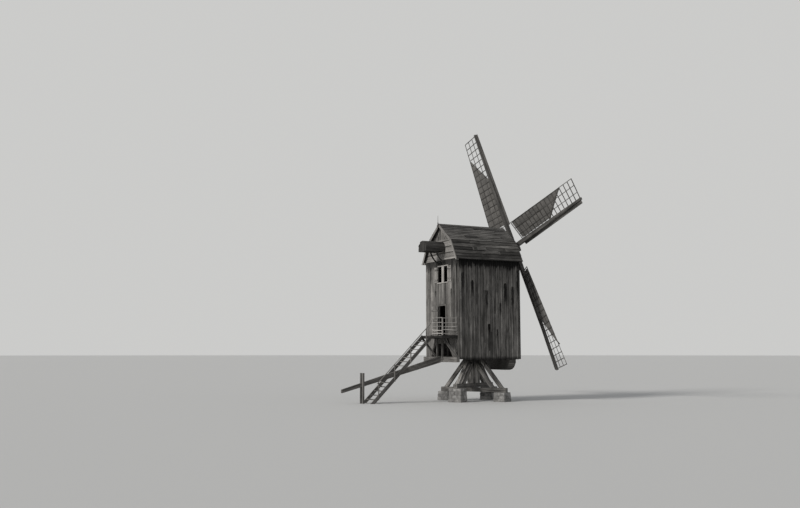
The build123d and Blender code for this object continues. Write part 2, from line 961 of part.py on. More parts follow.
def build_hatch():
    bottom = upper_floor + hatch_rise
    sill_half = (mullion_width / 2 + hatch_width + frame_width)
    with BuildPart() as frame:
        timber(
            (hatch_centre - sill_half, hatch_centre + sill_half),
            (tail_face, tail_face + hatch_sill),
            (bottom - hatch_sill, bottom),
        )
        timber(
            (hatch_centre - mullion_width / 2, hatch_centre + mullion_width / 2),
            (tail_face, tail_face + hatch_sill / 2),
            (bottom, bottom + hatch_height),
        )
        timber(
            (hatch_centre - sill_half, hatch_centre + sill_half),
            (tail_face, tail_face + hatch_sill / 2),
            (bottom + hatch_height, bottom + hatch_height + hatch_sill),
        )
    finish(frame, "hatch_frame")
    with BuildPart() as shutters:
        for side in (-1, 1):
            edge = hatch_slot_x(side) + side * (hatch_width / 2 + shutter_swing_gap)
            timber(
                (edge, edge + side * hatch_width),
                (tail_face + seat_gap, tail_face + seat_gap + shutter_thickness),
                (bottom + seat_gap, bottom + hatch_height - seat_gap),
            )
    finish(shutters, "hatch_shutters")


def hood_outline(inset, drop=0.0):
    """The hood's section: straight sides under a half-round top."""
    half = hood_width / 2 - inset
    base = eaves + hood_rise - drop
    side_top = eaves + hood_rise + hood_height - hood_width / 2
    with BuildLine(Plane.XY) as outline:
        Polyline((-half, side_top), (-half, base), (half, base), (half, side_top))
        RadiusArc((half, side_top), (-half, side_top), -half)
    return outline.line


def build_hood():
    """Boards bent over the hoist, closed at the outer end and open below."""
    end = tail_face + hood_length
    with BuildPart() as hood:
        with BuildSketch(cross_plane(end)):
            make_face(hood_outline(0).edges())
        extrude(amount=hood_length)
        with BuildSketch(cross_plane(end - hood_board)):
            make_face(hood_outline(hood_board, drop=hood_board).edges())
        extrude(amount=hood_length, mode=Mode.SUBTRACT)
    finish(hood, "hoist_hood")


def bracket_arc(start, end):
    """One edge of a bracket, bowed down and outward between two points."""
    across = Vector(bracket_drop, -bracket_reach).normalized()
    middle = (Vector(*start) + Vector(*end)) / 2 + across * bracket_bow
    return ThreePointArc(start, (middle.X, middle.Y), end)


def build_hood_supports():
    """The hoist's beam, and two bent brackets that carry the hood from the wall."""
    base = eaves + hood_rise
    foot = base - bracket_drop
    head = tail_face + bracket_reach
    bracket_head = bracket_foot * bracket_reach / bracket_drop
    with BuildPart() as supports:
        timber(
            (-hoist_beam / 2, hoist_beam / 2),
            (tail_face, tail_face + hood_length - hood_board),
            (base, base + hoist_beam),
        )
        for x in bracket_places:
            with BuildSketch(side_plane(x - bracket_width / 2)):
                with BuildLine():
                    bracket_arc((head, base), (tail_face, foot))
                    Line((tail_face, foot), (tail_face, foot + bracket_foot))
                    bracket_arc((tail_face, foot + bracket_foot), (head - bracket_head, base))
                    Line((head - bracket_head, base), (head, base))
                make_face()
            extrude(amount=bracket_width)
    finish(supports, "hood_supports")


# Porch and tail frame


def build_porch():
    """A boarded landing on a frame of beams, held up by two raking knees."""
    outer = tail_face + porch_length
    with BuildPart() as floor:
        timber((-porch_left, porch_right), (tail_face, outer), (lower_floor - porch_board, lower_floor))
    finish(floor, "porch_floor")
    top = lower_floor - porch_board
    low = top - porch_beam
    foot = tail_sill_span()[1]
    knee_end = outer - knee_set_back
    rake = Vector(knee_end - tail_face - knee_depth, low - foot).normalized()
    with BuildPart() as frame:
        timber((-porch_left, porch_right), (outer - porch_beam, outer), (top - porch_beam, top))
        timber((-porch_left, porch_right), (tail_face, tail_face + porch_beam), (top - porch_beam, top))
        for x in (-porch_left, -porch_beam / 2 - door_width / 2, porch_right - porch_beam):
            timber((x, x + porch_beam), (tail_face + porch_beam, outer - porch_beam), (top - porch_beam, top))
        for x in (-porch_left, porch_right - porch_beam):
            with BuildSketch(side_plane(x)):
                Polygon(
                    (tail_face, foot),
                    (tail_face + knee_depth, foot),
                    (knee_end, low),
                    (knee_end - knee_depth / rake.Y, low),
                    (tail_face, foot + knee_depth / rake.X - knee_depth * rake.Y / rake.X),
                    align=None,
                )
            extrude(amount=porch_beam)
    finish(frame, "porch_frame")


def build_railing():
    outer = tail_face + porch_length
    ladder_edge = -ladder_width / 2
    with BuildPart() as railing:
        for x, y in (
            (-porch_left + rail_post / 2, tail_face + rail_post / 2),
            (-porch_left + rail_post / 2, outer - rail_post / 2),
            (ladder_edge - rail_post / 2, outer - rail_post / 2),
        ):
            timber(
                (x - rail_post / 2, x + rail_post / 2),
                (y - rail_post / 2, y + rail_post / 2),
                (lower_floor, lower_floor + rail_height),
            )
        for level in (*rail_levels, rail_height - rail_depth / 2):
            z = (lower_floor + level - rail_depth / 2, lower_floor + level + rail_depth / 2)
            side = -porch_left + (rail_post - rail_thickness) / 2
            timber((side, side + rail_thickness), (tail_face, outer), z)
            front = outer - (rail_post + rail_thickness) / 2
            timber((-porch_left + rail_post / 2, ladder_edge - rail_post / 2), (front, front + rail_thickness), z)
    finish(railing, "porch_railing")


def tail_sill_span():
    top = body_bottom + tail_sill_depth - tail_sill_drop
    return top - tail_sill_depth, top


def build_tail_frame():
    """The sill under the tail with the posts and braces that stand on it below the porch."""
    bottom, top = tail_sill_span()
    head = lower_floor - porch_board - porch_beam
    with BuildPart() as frame:
        timber((-half_width, half_width), (tail_face, tail_face + tail_sill_width), (bottom, top))
        for x in void_post_places:
            timber((x - void_post / 2, x + void_post / 2), (tail_face, tail_face + void_post), (top, head))
        for side, low, high in ((-1, void_bottom_left, void_top_left), (1, void_bottom_right, void_top_right)):
            level = void_post * Vector(low - high, head - top).length / (head - top)
            with BuildSketch(cross_plane(tail_face + void_post)):
                Polygon(
                    (side * low, top),
                    (side * (low - level), top),
                    (side * (high - level), head),
                    (side * high, head),
                    align=None,
                )
            extrude(amount=void_post)
    finish(frame, "tail_frame")


# Tail pole


def pole_middle(y):
    """Height of the pole's middle line at y."""
    bottom, top = tail_sill_span()
    start = (bottom + top) / 2
    return start - (y - tail_face - tail_sill_width) * pole_drop / pole_reach


def pole_half_depth(y):
    share = (y - tail_face - tail_sill_width) / pole_reach
    return (pole_depth + (pole_tip_depth - pole_depth) * share) / 2


def pole_bottom(y):
    return pole_middle(y) - pole_half_depth(y)


def build_tail_pole():
    """The tapered pole that turns the body, and a pair of legs held to it by a pin."""
    start = tail_face + tail_sill_width
    end = tail_face + pole_reach
    with BuildPart() as pole:
        for y, width in ((start, pole_width), (end, pole_tip_width)):
            with BuildSketch(Plane(origin=(0, y, pole_middle(y)), x_dir=(1, 0, 0), z_dir=(0, 1, 0))):
                Rectangle(width, 2 * pole_half_depth(y))
        loft(ruled=True)
    finish(pole, "tail_pole")
    y = tail_face + leg_place
    near = y - leg_width / 2
    share = (near - start) / (end - start)
    inner = (pole_width + (pole_tip_width - pole_width) * share) / 2 + seat_gap
    radius = leg_pin / 2
    fall = (pole_bottom(start) - pole_bottom(end)) / (end - start)
    pin_height = pole_bottom(y) - (radius + seat_gap) * (1 + fall * fall) ** 0.5
    with BuildPart() as legs:
        for side in (-1, 1):
            timber(
                (side * inner, side * (inner + leg_width)),
                (near, near + leg_width),
                (ground_gap, leg_height),
            )
        with Locations(Location((0, y, pin_height), (0, 90, 0))):
            Cylinder(radius, 2 * (inner + leg_width))
    finish(legs, "pole_legs")


# Ladder


def string_middle(y):
    """Height of the middle line of a ladder string at y."""
    top = ladder_top()
    return top.Z - (y - top.Y) * top.Z / ladder_run


def ladder_top():
    """Where the strings' middle line ends beside the porch."""
    return Vector(0, tail_face + porch_length + ladder_gap, lower_floor - ladder_top_drop)


def ladder_hinge():
    """The line that the ladder lifts about, through the upper ends of its strings."""
    y = tail_face + porch_length + ladder_pin_out
    return Vector(0, y, string_middle(y))


def string_plumb_depth():
    """Depth of a string, measured upright."""
    top = ladder_top()
    return string_depth * (top.Z**2 + ladder_run**2) ** 0.5 / ladder_run


def tread_places():
    """Places of the treads that leave the tail pole free, at rest and as the ladder lifts."""
    top = ladder_top()
    places = []
    for step in range(1, tread_count + 1):
        y = top.Y + ladder_run * step / (tread_count + 1)
        z = string_middle(y)
        rise = (y - top.Y) * sin(radians(ladder_lift))
        over = y - tread_depth / 2
        under = y + tread_depth / 2
        above = z - tread_thickness - pole_middle(over) - pole_half_depth(over)
        below = pole_middle(under) - pole_half_depth(under) - z - rise
        if above > pole_gap or below > pole_gap:
            places.append((y, z))
    return places


def build_ladder():
    top = ladder_top()
    hinge = ladder_hinge()
    depth = string_plumb_depth()
    spread = depth / 2 * ladder_run / top.Z
    with BuildPart() as strings:
        for side in (-1, 1):
            edge = side * ladder_width / 2
            with BuildSketch(side_plane(min(edge, edge - side * string_width))):
                Polygon(
                    (top.Y, top.Z + depth / 2),
                    (top.Y, top.Z - depth / 2),
                    (top.Y + ladder_run - spread, 0),
                    (top.Y + ladder_run + spread, 0),
                    align=None,
                )
                with Locations((hinge.Y, hinge.Z)):
                    Circle(ladder_pin / 2 + bearing_gap, mode=Mode.SUBTRACT)
            extrude(amount=string_width)
    finish(strings, "ladder_strings")
    reach = ladder_width / 2 - string_width
    with BuildPart() as treads:
        for y, z in tread_places():
            timber((-reach, reach), (y - tread_depth / 2, y + tread_depth / 2), (z - tread_thickness, z))
    finish(treads, "ladder_treads")


def build_ladder_pins():
    """Iron plates on the porch with the pins that the ladder hangs and lifts on."""
    hinge = ladder_hinge()
    outer = tail_face + porch_length
    plate_face = ladder_width / 2 - string_width - plate_gap
    with BuildPart() as pins:
        for side in (-1, 1):
            timber(
                (side * (plate_face - ladder_plate), side * plate_face),
                (outer, hinge.Y + ladder_pin),
                (hinge.Z - ladder_plate_height / 2, hinge.Z + ladder_plate_height / 2),
            )
            middle = side * (plate_face + ladder_width / 2) / 2
            with Locations(Location((middle, hinge.Y, hinge.Z), (0, 90, 0))):
                Cylinder(ladder_pin / 2, ladder_width / 2 - plate_face)
    finish(pins, "ladder_pins")


def build_handrail():
    """One rail on posts that are fixed to the outside of the near string."""
    top = ladder_top()
    x = -(ladder_width + handrail_post) / 2
    depth = string_plumb_depth()
    first = top.Y + handrail_set_back
    last = top.Y + ladder_run * handrail_share
    with BuildPart() as rail:
        for share in handrail_posts:
            y = top.Y + ladder_run * share
            z = string_middle(y)
            timber(
                (x - handrail_post / 2, x + handrail_post / 2),
                (y - handrail_post / 2, y + handrail_post / 2),
                (z - depth / 2, z + handrail_height),
            )
        start = Vector(x, first, string_middle(first) + handrail_height)
        run = Vector(x, last, string_middle(last) + handrail_height) - start
        with BuildSketch(Plane(origin=start, x_dir=(1, 0, 0), z_dir=run)):
            Circle(handrail_diameter / 2)
        extrude(amount=run.length)
    finish(rail, "ladder_handrail")


build_piers()
build_crosstrees()
build_quarterbars()
build_main_post()
build_sheers()
build_crown_tree()
build_side_rails()
build_wall_posts()
build_floors()
build_side_walls()
build_tail_wall()
build_breast_wall()
build_breast_apron()
build_roof()
build_verges()
build_gable_frame()
build_finial()
build_windshaft()
build_shaft_supports()
build_stocks()
build_sail_frames()
build_leading_boards()
build_cloths()
build_door_frame()
build_door()
build_hatch()
build_hood()
build_hood_supports()
build_porch()
build_railing()
build_tail_frame()
build_tail_pole()
build_ladder()
build_ladder_pins()
build_handrail()
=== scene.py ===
import math
import random

import bmesh
import bpy
from mathutils import Matrix, Vector, noise


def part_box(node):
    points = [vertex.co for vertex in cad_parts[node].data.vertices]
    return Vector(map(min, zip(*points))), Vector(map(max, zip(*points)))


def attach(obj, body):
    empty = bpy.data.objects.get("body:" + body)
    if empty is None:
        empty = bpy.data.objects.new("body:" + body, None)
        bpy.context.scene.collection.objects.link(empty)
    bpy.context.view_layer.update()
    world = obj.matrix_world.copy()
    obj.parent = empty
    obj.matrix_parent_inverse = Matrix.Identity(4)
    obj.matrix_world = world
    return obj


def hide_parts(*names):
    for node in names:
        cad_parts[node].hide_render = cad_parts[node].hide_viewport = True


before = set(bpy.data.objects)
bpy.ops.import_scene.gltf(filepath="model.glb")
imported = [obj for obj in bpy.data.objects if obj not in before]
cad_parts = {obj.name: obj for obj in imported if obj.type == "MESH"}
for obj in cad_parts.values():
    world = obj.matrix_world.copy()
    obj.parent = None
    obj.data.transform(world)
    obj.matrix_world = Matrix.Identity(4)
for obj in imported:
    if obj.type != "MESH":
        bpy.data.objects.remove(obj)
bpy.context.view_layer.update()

# A timber post mill on an open trestle, in metres. The breast faces -Y, the tail faces +Y.

X, Y, Z = (1, 0, 0), (0, 1, 0), (0, 0, 1)

# Sizes that the boards, the stones and the cloths share with the frame
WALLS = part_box("side_walls")
HALF_WIDTH, TAIL, EAVES = WALLS[1]
BREAST, BOTTOM = -WALLS[0].y, WALLS[0].z
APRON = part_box("breast_apron")
APRON_RADIUS = 0.66
VOID = ((-1.68, -0.76), (1.52, 0.90))
VOID_TOP = BOTTOM + 1.0
BREAK_X = HALF_WIDTH - 0.62
BREAK_RISE = 1.10
RIDGE_RISE = 2.29
ROOF_CORNERS = ((HALF_WIDTH, EAVES), (BREAK_X, EAVES + BREAK_RISE), (0.0, EAVES + RIDGE_RISE))
ROOF_SLOPES = tuple(zip(ROOF_CORNERS, ROOF_CORNERS[1:]))
ROOF_BOARD = 0.06
TRESTLE_TURN = math.radians(30)
HUB = Vector((0, -3.25, 10.3))
SHAFT_TILT = math.radians(12)
SAIL_LEAN = 15.0
HEEL = 1.75
TIP = 8.71
SAIL_WIDTH = 1.40
STOCK_PITCH = 0.30


# Finishes


def counting(operation, swapped=False):
    """A method that joins a wire to another wire or number, or that to the wire when swapped."""

    def count(wire, other=0.0):
        return arithmetic(operation, *((other, wire) if swapped else (wire, other)))

    return count


class Wire:
    """An output of a shader node, which can be added, multiplied and compared like a number."""

    __add__, __mul__, __truediv__ = counting("ADD"), counting("MULTIPLY"), counting("DIVIDE")
    __sub__, __rsub__ = counting("SUBTRACT"), counting("SUBTRACT", True)
    __gt__, __abs__ = counting("GREATER_THAN"), counting("ABSOLUTE")

    def __init__(self, socket):
        self.socket = socket
        self.tree = socket.id_data

    def vector(self, operation, *other):
        """Vector arithmetic, which gives a number for a dot product or a length."""
        output = 1 if operation in ("DOT_PRODUCT", "LENGTH") else 0
        inputs = dict(enumerate((self, *other)))
        return add_node(self.tree, "ShaderNodeVectorMath", inputs, output, operation=operation)

    def parts(self):
        """The three numbers of a vector."""
        split = add_node(self.tree, "ShaderNodeSeparateXYZ", {0: self}).socket.node
        return [Wire(socket) for socket in split.outputs]


def add_node(tree, kind, inputs=None, output=0, **settings):
    """Adds a shader node, its inputs given as numbers or as wires, and gives one of its outputs."""
    made = tree.nodes.new(kind)
    for key, value in settings.items():
        setattr(made, key, value)
    for key, value in (inputs or {}).items():
        if isinstance(value, Wire):
            tree.links.new(value.socket, made.inputs[key])
        else:
            made.inputs[key].default_value = value
    return Wire(made.outputs[output])


def tree_of(*values):
    return next(value.tree for value in values if isinstance(value, Wire))


def arithmetic(operation, first, second=0.0):
    inputs = {0: first, 1: second}
    return add_node(tree_of(first, second), "ShaderNodeMath", inputs, operation=operation)


def spread(value, low, high, to_low=0.0, to_high=1.0):
    """The value stretched from one range to another and held inside it."""
    inputs = dict(enumerate((value, low, high, to_low, to_high)))
    return add_node(value.tree, "ShaderNodeMapRange", inputs)


def speckle(place, scale, detail=4.0, roughness=0.6):
    """Cloudy noise, so much finer along each axis, with so many layers of detail."""
    inputs = {"Vector": place.vector("MULTIPLY", scale), "Scale": 1.0}
    inputs.update({"Detail": detail, "Roughness": roughness})
    return add_node(place.tree, "ShaderNodeTexNoise", inputs)


def even_speckle(place, scale, detail, roughness):
    return speckle(place, (scale, scale, scale), detail, roughness)


def blend_colour(factor, first, second, blend="MIX"):
    inputs = {0: factor, 6: first, 7: second}
    tree = tree_of(factor, first, second)
    return add_node(tree, "ShaderNodeMix", inputs, 2, data_type="RGBA", blend_type=blend)


def either_place(factor, first, second):
    inputs = {0: factor, 4: first, 5: second}
    return add_node(factor.tree, "ShaderNodeMix", inputs, 1, data_type="VECTOR")


def as_vector(x, y, z=0.0):
    return add_node(x.tree, "ShaderNodeCombineXYZ", {0: x, 1: y, 2: z})


def object_place(tree):
    return add_node(tree, "ShaderNodeTexCoord", output="Object")


def map_place(tree, name):
    return add_node(tree, "ShaderNodeUVMap", uv_map=name)


def board_tone(tree):
    return add_node(tree, "ShaderNodeAttribute", output="Fac", attribute_name="tone")


def grain_along(direction, mirrored=False):
    """Object coordinates turned so that the grain runs along the given direction, and along its
    mirror image on the far side where the piece has two equal halves."""
    turn = Vector(direction).rotation_difference(Vector(Z)).to_euler()

    def place(tree):
        here = object_place(tree)
        if mirrored:
            here = here.vector("ABSOLUTE")
        inputs = {"Vector": here, "Rotation": turn}
        return add_node(tree, "ShaderNodeMapping", inputs, vector_type="POINT")

    return place


def grain_beyond(axis, limit, first, second):
    """One grain up to a limit along an axis and another beyond it, where timbers that lie in two
    directions are joined in one frame."""

    def place(tree):
        return either_place(object_place(tree).parts()[axis] > limit, first(tree), second(tree))

    return place


def board_grain(tree):
    """Each board's own place: across it and along it, with its tone as the number between."""
    across, along, _ = map_place(tree, "grain").parts()
    return as_vector(across, board_tone(tree) * 37.0, along)


def arm_grain(slope):
    """Grain of the bars on the four arms of the trestle, which rake in as they rise by slope."""
    length = math.hypot(1, slope)
    run, turn = math.cos(TRESTLE_TURN), math.sin(TRESTLE_TURN)

    def place(tree):
        here = object_place(tree)
        one = here.vector("DOT_PRODUCT", (run, turn, 0))
        other = here.vector("DOT_PRODUCT", (-turn, run, 0))
        far_one, far_other = abs(one), abs(other)
        nearer = far_one > far_other
        out = arithmetic("MAXIMUM", far_one, far_other)
        aside = one + other - (nearer * one + (1.0 - nearer) * other)
        height = here.parts()[2]
        along = height * (slope / length) - out * (1 / length)
        across = height * (1 / length) + out * (slope / length)
        return as_vector(across, aside, along)

    return place


def sail_direction(index):
    """Unit vectors of a sail: out along its stock, to its trailing edge and back to the body."""
    angle = math.radians(SAIL_LEAN + 90 * index)
    up = Vector((0, math.sin(SHAFT_TILT), math.cos(SHAFT_TILT)))
    inward = Vector((0, math.cos(SHAFT_TILT), -math.sin(SHAFT_TILT)))
    outward = up * math.cos(angle) + Vector(X) * math.sin(angle)
    return outward, inward.cross(outward), inward


def poll_parts(tree):
    """Distances from the hub: out along the first sail, across it and back to the body."""
    from_hub = object_place(tree).vector("SUBTRACT", HUB)
    return [from_hub.vector("DOT_PRODUCT", side) for side in sail_direction(0)]


def wheel_grain(tree):
    """Grain along whichever of the two stocks a point lies nearer to."""
    first, second, inward = poll_parts(tree)
    along_first, along_second = as_vector(second, inward, first), as_vector(first, inward, second)
    return either_place(abs(first) > abs(second), along_second, along_first)


def start_finish(name, roughness, **inputs):
    material = bpy.data.materials.new(name)
    material.use_nodes = True
    shader = material.node_tree.nodes["Principled BSDF"]
    shader.inputs["Roughness"].default_value = roughness
    for key, value in inputs.items():
        shader.inputs[key.replace("_", " ")].default_value = value
    return material


def end_finish(material, colour, height, strength, distance):
    """Gives a material its colour and the relief of its surface."""
    tree = material.node_tree
    inputs = {"Strength": strength, "Distance": distance, "Height": height}
    relief = add_node(tree, "ShaderNodeBump", inputs)
    for value, key in ((colour, "Base Color"), (relief, "Normal")):
        tree.links.new(value.socket, tree.nodes["Principled BSDF"].inputs[key])
    return material


def grey(value, warmth=0.04):
    """A near-neutral grey, a little warmer in red than in blue."""
    return (value * (1 + warmth), value, value * (1 - 1.3 * warmth), 1)


def wall_stains(here, axis, stains):
    """Shade of the dark runs down a wall, each given by its place along an axis, the height that
    it starts at, its half width and its length."""
    parts = here.parts()
    wander = (speckle(here, (5.0, 5.0, 2.6), 6.0, 0.8) - 0.5) * 0.20
    broken = spread(speckle(here, (20, 20, 2.6), 3.0, 0.6), 0.34, 0.52, 0.55, 1.0)
    shade = None
    for place, top, half, length in stains:
        aside = abs(parts[axis] - place + wander)
        core = spread(aside, half * 0.85, half * 1.15, 1.0, 0.0)
        below = top - parts[2]
        left = spread(below, -0.03, 0.06) * spread(below, length * 0.45, length, 1.0, 0.0)
        kept = 1.0 - core * left * broken * 0.92
        shade = kept if shade is None else shade * kept
    return shade


WOOD_WARMTH = 0.05


def weathered_wood(
    name, place, pale, dark, checks=0.5, bump=0.006, drip=None, damp=0.06, foot=None, stains=None,
    dirty=(0.06, 0.45)
):
    """Old bare timber: fibres, long streaks, drying cracks and stains, with the grain along the
    third number of its place. Boards also have their own tones and darker edges, dirt and painted
    shade between boards: how wide, and how dark. A top height starts dark runs and a painted shadow
    band, whose shade is given, and a foot height has painted shadow below it."""
    material = start_finish(name, 0.86, Specular_IOR_Level=0.2)
    tree = material.node_tree
    at, here = place(tree), object_place(tree)
    fibre = speckle(at, (75, 75, 3.0), 5.0, 0.62)
    streak = speckle(at, (15, 15, 0.5), 4.0, 0.6)
    stain = speckle(at, (2.3, 2.3, 0.9), 5.0, 0.68)
    crack = spread(speckle(at, (34, 34, 0.8), 3.0, 0.5), 0.31, 0.40)
    tone = spread(fibre * 0.6 + streak * 0.9 + stain * 0.6, 0.84, 1.24)
    colour = blend_colour(tone, grey(dark, WOOD_WARMTH), grey(pale, WOOD_WARMTH))
    shade = spread(crack, 0.0, 1.0, 1.0 - checks, 1.0)
    if place is board_grain:
        # Board edges darkened: dirt in the joints and painted shade between boards and under laps.
        shade = shade * spread(board_tone(tree), 0.0, 1.0, 0.42, 1.50)
        ragged = speckle(at, (6, 6, 2.0), 4.0, 0.7) * 0.11
        inside = 0.5 - abs(map_place(tree, "rim").parts()[0]) - ragged
        shade = shade * spread(inside, 0.0, *dirty, 1.0)
    # Dark runs down from the top height, and under it a ragged band of painted shadow, as under
    # eaves, the body or the porch.
    if drip is not None:
        below = drip - here.parts()[2]
        reach = spread(speckle(here, (4.5, 4.5, 0.22), 5.0, 0.7), 0.36, 0.72, 0.10, 1.9)
        shade = shade * spread(below / reach, 0.25, 1.0, 0.42, 1.0)
        ragged = spread(speckle(here, (9, 9, 1.3), 4.0, 0.7), 0.32, 0.68, 0.0, 0.55)
        shade = shade * spread(below - ragged, 0.13, 0.23, damp, 1.0)
    # Painted shadow along the foot of the wall, its upper edge ragged.
    if foot is not None:
        foot_shadow_edge = speckle(here, (5, 5, 1.5), 4.0, 0.7) * 0.30
        shade = shade * spread(here.parts()[2] - foot - foot_shadow_edge, -0.10, 0.06, 0.22, 1.0)
    if stains is not None:
        shade = shade * wall_stains(here, *stains)
    patches = spread(speckle(here, (0.8, 0.8, 0.55), 4.0, 0.6), 0.36, 0.66, 0.72, 1.22)
    colour = blend_colour(1.0, colour, shade * patches, "MULTIPLY")
    spots = spread(speckle(here, (9, 9, 6), 6.0, 0.75), 0.60, 0.72)
    colour = blend_colour(spots * 0.35, colour, grey(dark * 0.35, WOOD_WARMTH))
    return end_finish(material, colour, fibre * 0.45 + crack, 0.8, bump)


RING_STEP = 0.011
HEART_ASIDE = 0.03


def end_grain(name):
    """The sawn end of a great timber: growth rings, and drying cracks out from its heart."""
    material = start_finish(name, 0.88)
    a, b, _ = poll_parts(material.node_tree)
    flat = as_vector(a + HEART_ASIDE, b)
    away = flat.vector("LENGTH")
    wave = away + speckle(flat, (6, 6, 6)) * 0.05
    rings = spread(arithmetic("SINE", wave * (2 * math.pi / RING_STEP)), -1.0, 1.0)
    crack = even_speckle(flat.vector("NORMALIZE"), 6, 2.0, 0.5)
    near_heart = spread(away, 0.02, 0.26, 0.25, 0.37)
    crack = spread(crack - near_heart, -0.01, 0.01, 0.25, 1.0)
    stain = spread(even_speckle(flat, 5, 6.0, 0.7), 0.3, 0.7, 0.6, 1.2)
    colour = blend_colour(rings, grey(0.085, 0.06), grey(0.15, 0.06))
    colour = blend_colour(1.0, colour, stain, "MULTIPLY")
    colour = blend_colour(crack, grey(0.015), colour)
    return end_finish(material, colour, rings * 0.2 + crack, 0.8, 0.008)


def rough_stone(name):
    """Weathered masonry: each stone has its own tone, with pits and pale lichen."""
    material = start_finish(name, 0.92)
    tree = material.node_tree
    at = object_place(tree)
    grains = even_speckle(at, 38, 6.0, 0.7)
    tone = grains * 0.5 + even_speckle(at, 5, 5.0, 0.65) * 0.7
    colour = blend_colour(spread(tone, 0.42, 0.80), grey(0.11), grey(0.34, 0.03))
    own = spread(board_tone(tree), 0.0, 1.0, 0.6, 1.35)
    colour = blend_colour(1.0, colour, own, "MULTIPLY")
    lichen = spread(even_speckle(at, 16, 7.0, 0.8), 0.58, 0.68)
    colour = blend_colour(lichen * 0.45, colour, grey(0.42, 0.02))
    pits = add_node(tree, "ShaderNodeTexVoronoi", {"Vector": at, "Scale": 26.0}, "Distance")
    return end_finish(material, colour, grains + pits * 0.5, 0.9, 0.02)


def mortar(name):
    material = start_finish(name, 0.95)
    grains = even_speckle(object_place(material.node_tree), 60, 5.0, 0.7)
    colour = blend_colour(spread(grains, 0.3, 0.7), grey(0.07), grey(0.16))
    return end_finish(material, colour, grains, 0.8, 0.01)


def dull_iron(name):
    """Forged iron, dark and pitted, with a little dry rust."""
    material = start_finish(name, 0.62, Metallic=0.35)
    at = object_place(material.node_tree)
    pitting = even_speckle(at, 55, 5.0, 0.7)
    rust = spread(even_speckle(at, 13, 6.0, 0.7), 0.48, 0.66)
    colour = blend_colour(spread(pitting, 0.35, 0.65), grey(0.025), grey(0.065))
    colour = blend_colour(rust * 0.6, colour, (0.10, 0.068, 0.05, 1))
    return end_finish(material, colour, pitting, 0.6, 0.003)


THREAD = 0.004
CLOTH_WIDTH = 0.42


def tarred_canvas(name):
    """Heavy sailcloth: a plain weave, seams between its widths, stains and faded folds."""
    material = start_finish(name, 0.9, Sheen_Weight=0.15)
    uv = map_place(material.node_tree, "cut")
    x, y, _ = uv.parts()
    turn = 2 * math.pi / THREAD
    weave = arithmetic("SINE", x * turn) * arithmetic("SINE", y * turn)
    middle = abs(arithmetic("FRACT", x / CLOTH_WIDTH) - 0.5)
    seam = spread(middle, 0.0, 0.035, 1.0, 0.0)
    stains = speckle(uv, (2.2, 0.9, 1.0), 6.0, 0.7)
    folds = speckle(uv, (7.0, 1.6, 1.0), 4.0, 0.6)
    tone = spread(stains * 0.7 + folds * 0.5, 0.40, 0.82)
    colour = blend_colour(tone, grey(0.050, 0.07), grey(0.155, 0.06))
    colour = blend_colour(seam * 0.55, colour, grey(0.055, 0.07))
    return end_finish(material, colour, weave * 0.05 + seam * 0.7 + folds, 0.7, 0.012)


# Place along the wall, height of its top, half width and length of each dark run
SIDE_STAINS = (
    (2.12, 8.30, 0.10, 1.5), (1.38, 7.76, 0.10, 1.0), (0.30, 7.20, 0.10, 1.9),
    (-1.11, 7.66, 0.12, 1.7), (-0.72, 6.40, 0.07, 0.9), (-1.66, 7.50, 0.10, 2.2),
    (0.15, 5.00, 0.10, 0.8), (-0.49, 4.70, 0.06, 1.4), (-2.08, 8.60, 0.09, 3.2),
)
TAIL_STAINS = (
    (-1.23, 7.27, 0.07, 0.6), (0.84, 7.24, 0.07, 0.5), (-1.95, 8.9, 0.08, 1.6),
    (1.55, 8.9, 0.08, 1.4),
)


def boarding(name, pale, dark, checks, **more):
    return weathered_wood(name, board_grain, pale, dark, checks, **more)


ACROSS, LENGTHWAYS, UPRIGHT = grain_along(X), grain_along(Y), grain_along(Z)
# Wall boards: a band of painted shadow under the eaves, black on the side walls and paler on the
# tail, and painted shadow along each wall's foot.
SIDE_BOARD = boarding(
    "side_board", 0.195, 0.028, 0.8, drip=9.16, foot=BOTTOM, stains=(1, SIDE_STAINS)
)
TAIL_BOARD = boarding(
    "tail_board", 0.255, 0.055, 0.7, drip=9.2, damp=0.45, foot=BOTTOM, stains=(0, TAIL_STAINS)
)
BREAST_BOARD = boarding("breast_board", 0.24, 0.07, 0.55, foot=APRON[0].z)
ROOF_BOARDING = boarding("roof_boarding", 0.145, 0.022, 0.6)
HOOD_BOARDING = boarding("hood_boarding", 0.075, 0.016, 0.5)
# Wide, very dark edges on the gable boards: painted shade under each lapped board.
GABLE_BOARDING = boarding("gable_boarding", 0.36, 0.14, 0.4, dirty=(0.09, 0.16))
SHUTTER_BOARD = boarding("shutter_board", 0.34, 0.12, 0.4, dirty=(0.08, 0.28))
DOOR_BOARD = boarding("door_board", 0.26, 0.09, 0.5, dirty=(0.08, 0.35))
APRON_BOARD = boarding("apron_board", 0.15, 0.04, 0.55)
PLANK = boarding("plank", 0.22, 0.07, 0.5)
PEELED_POLE = boarding("peeled_pole", 0.40, 0.13, 0.45, bump=0.004)
DARK_POLE = boarding("dark_pole", 0.24, 0.07, 0.45, bump=0.004)
POLL_END = end_grain("poll_end_grain")
STONE = rough_stone("pier_stone")
MORTAR = mortar("pier_mortar")
IRON = dull_iron("forged_iron")
CANVAS = tarred_canvas("tarred_canvas")


# Carried-over timbers: their finish and softened edges

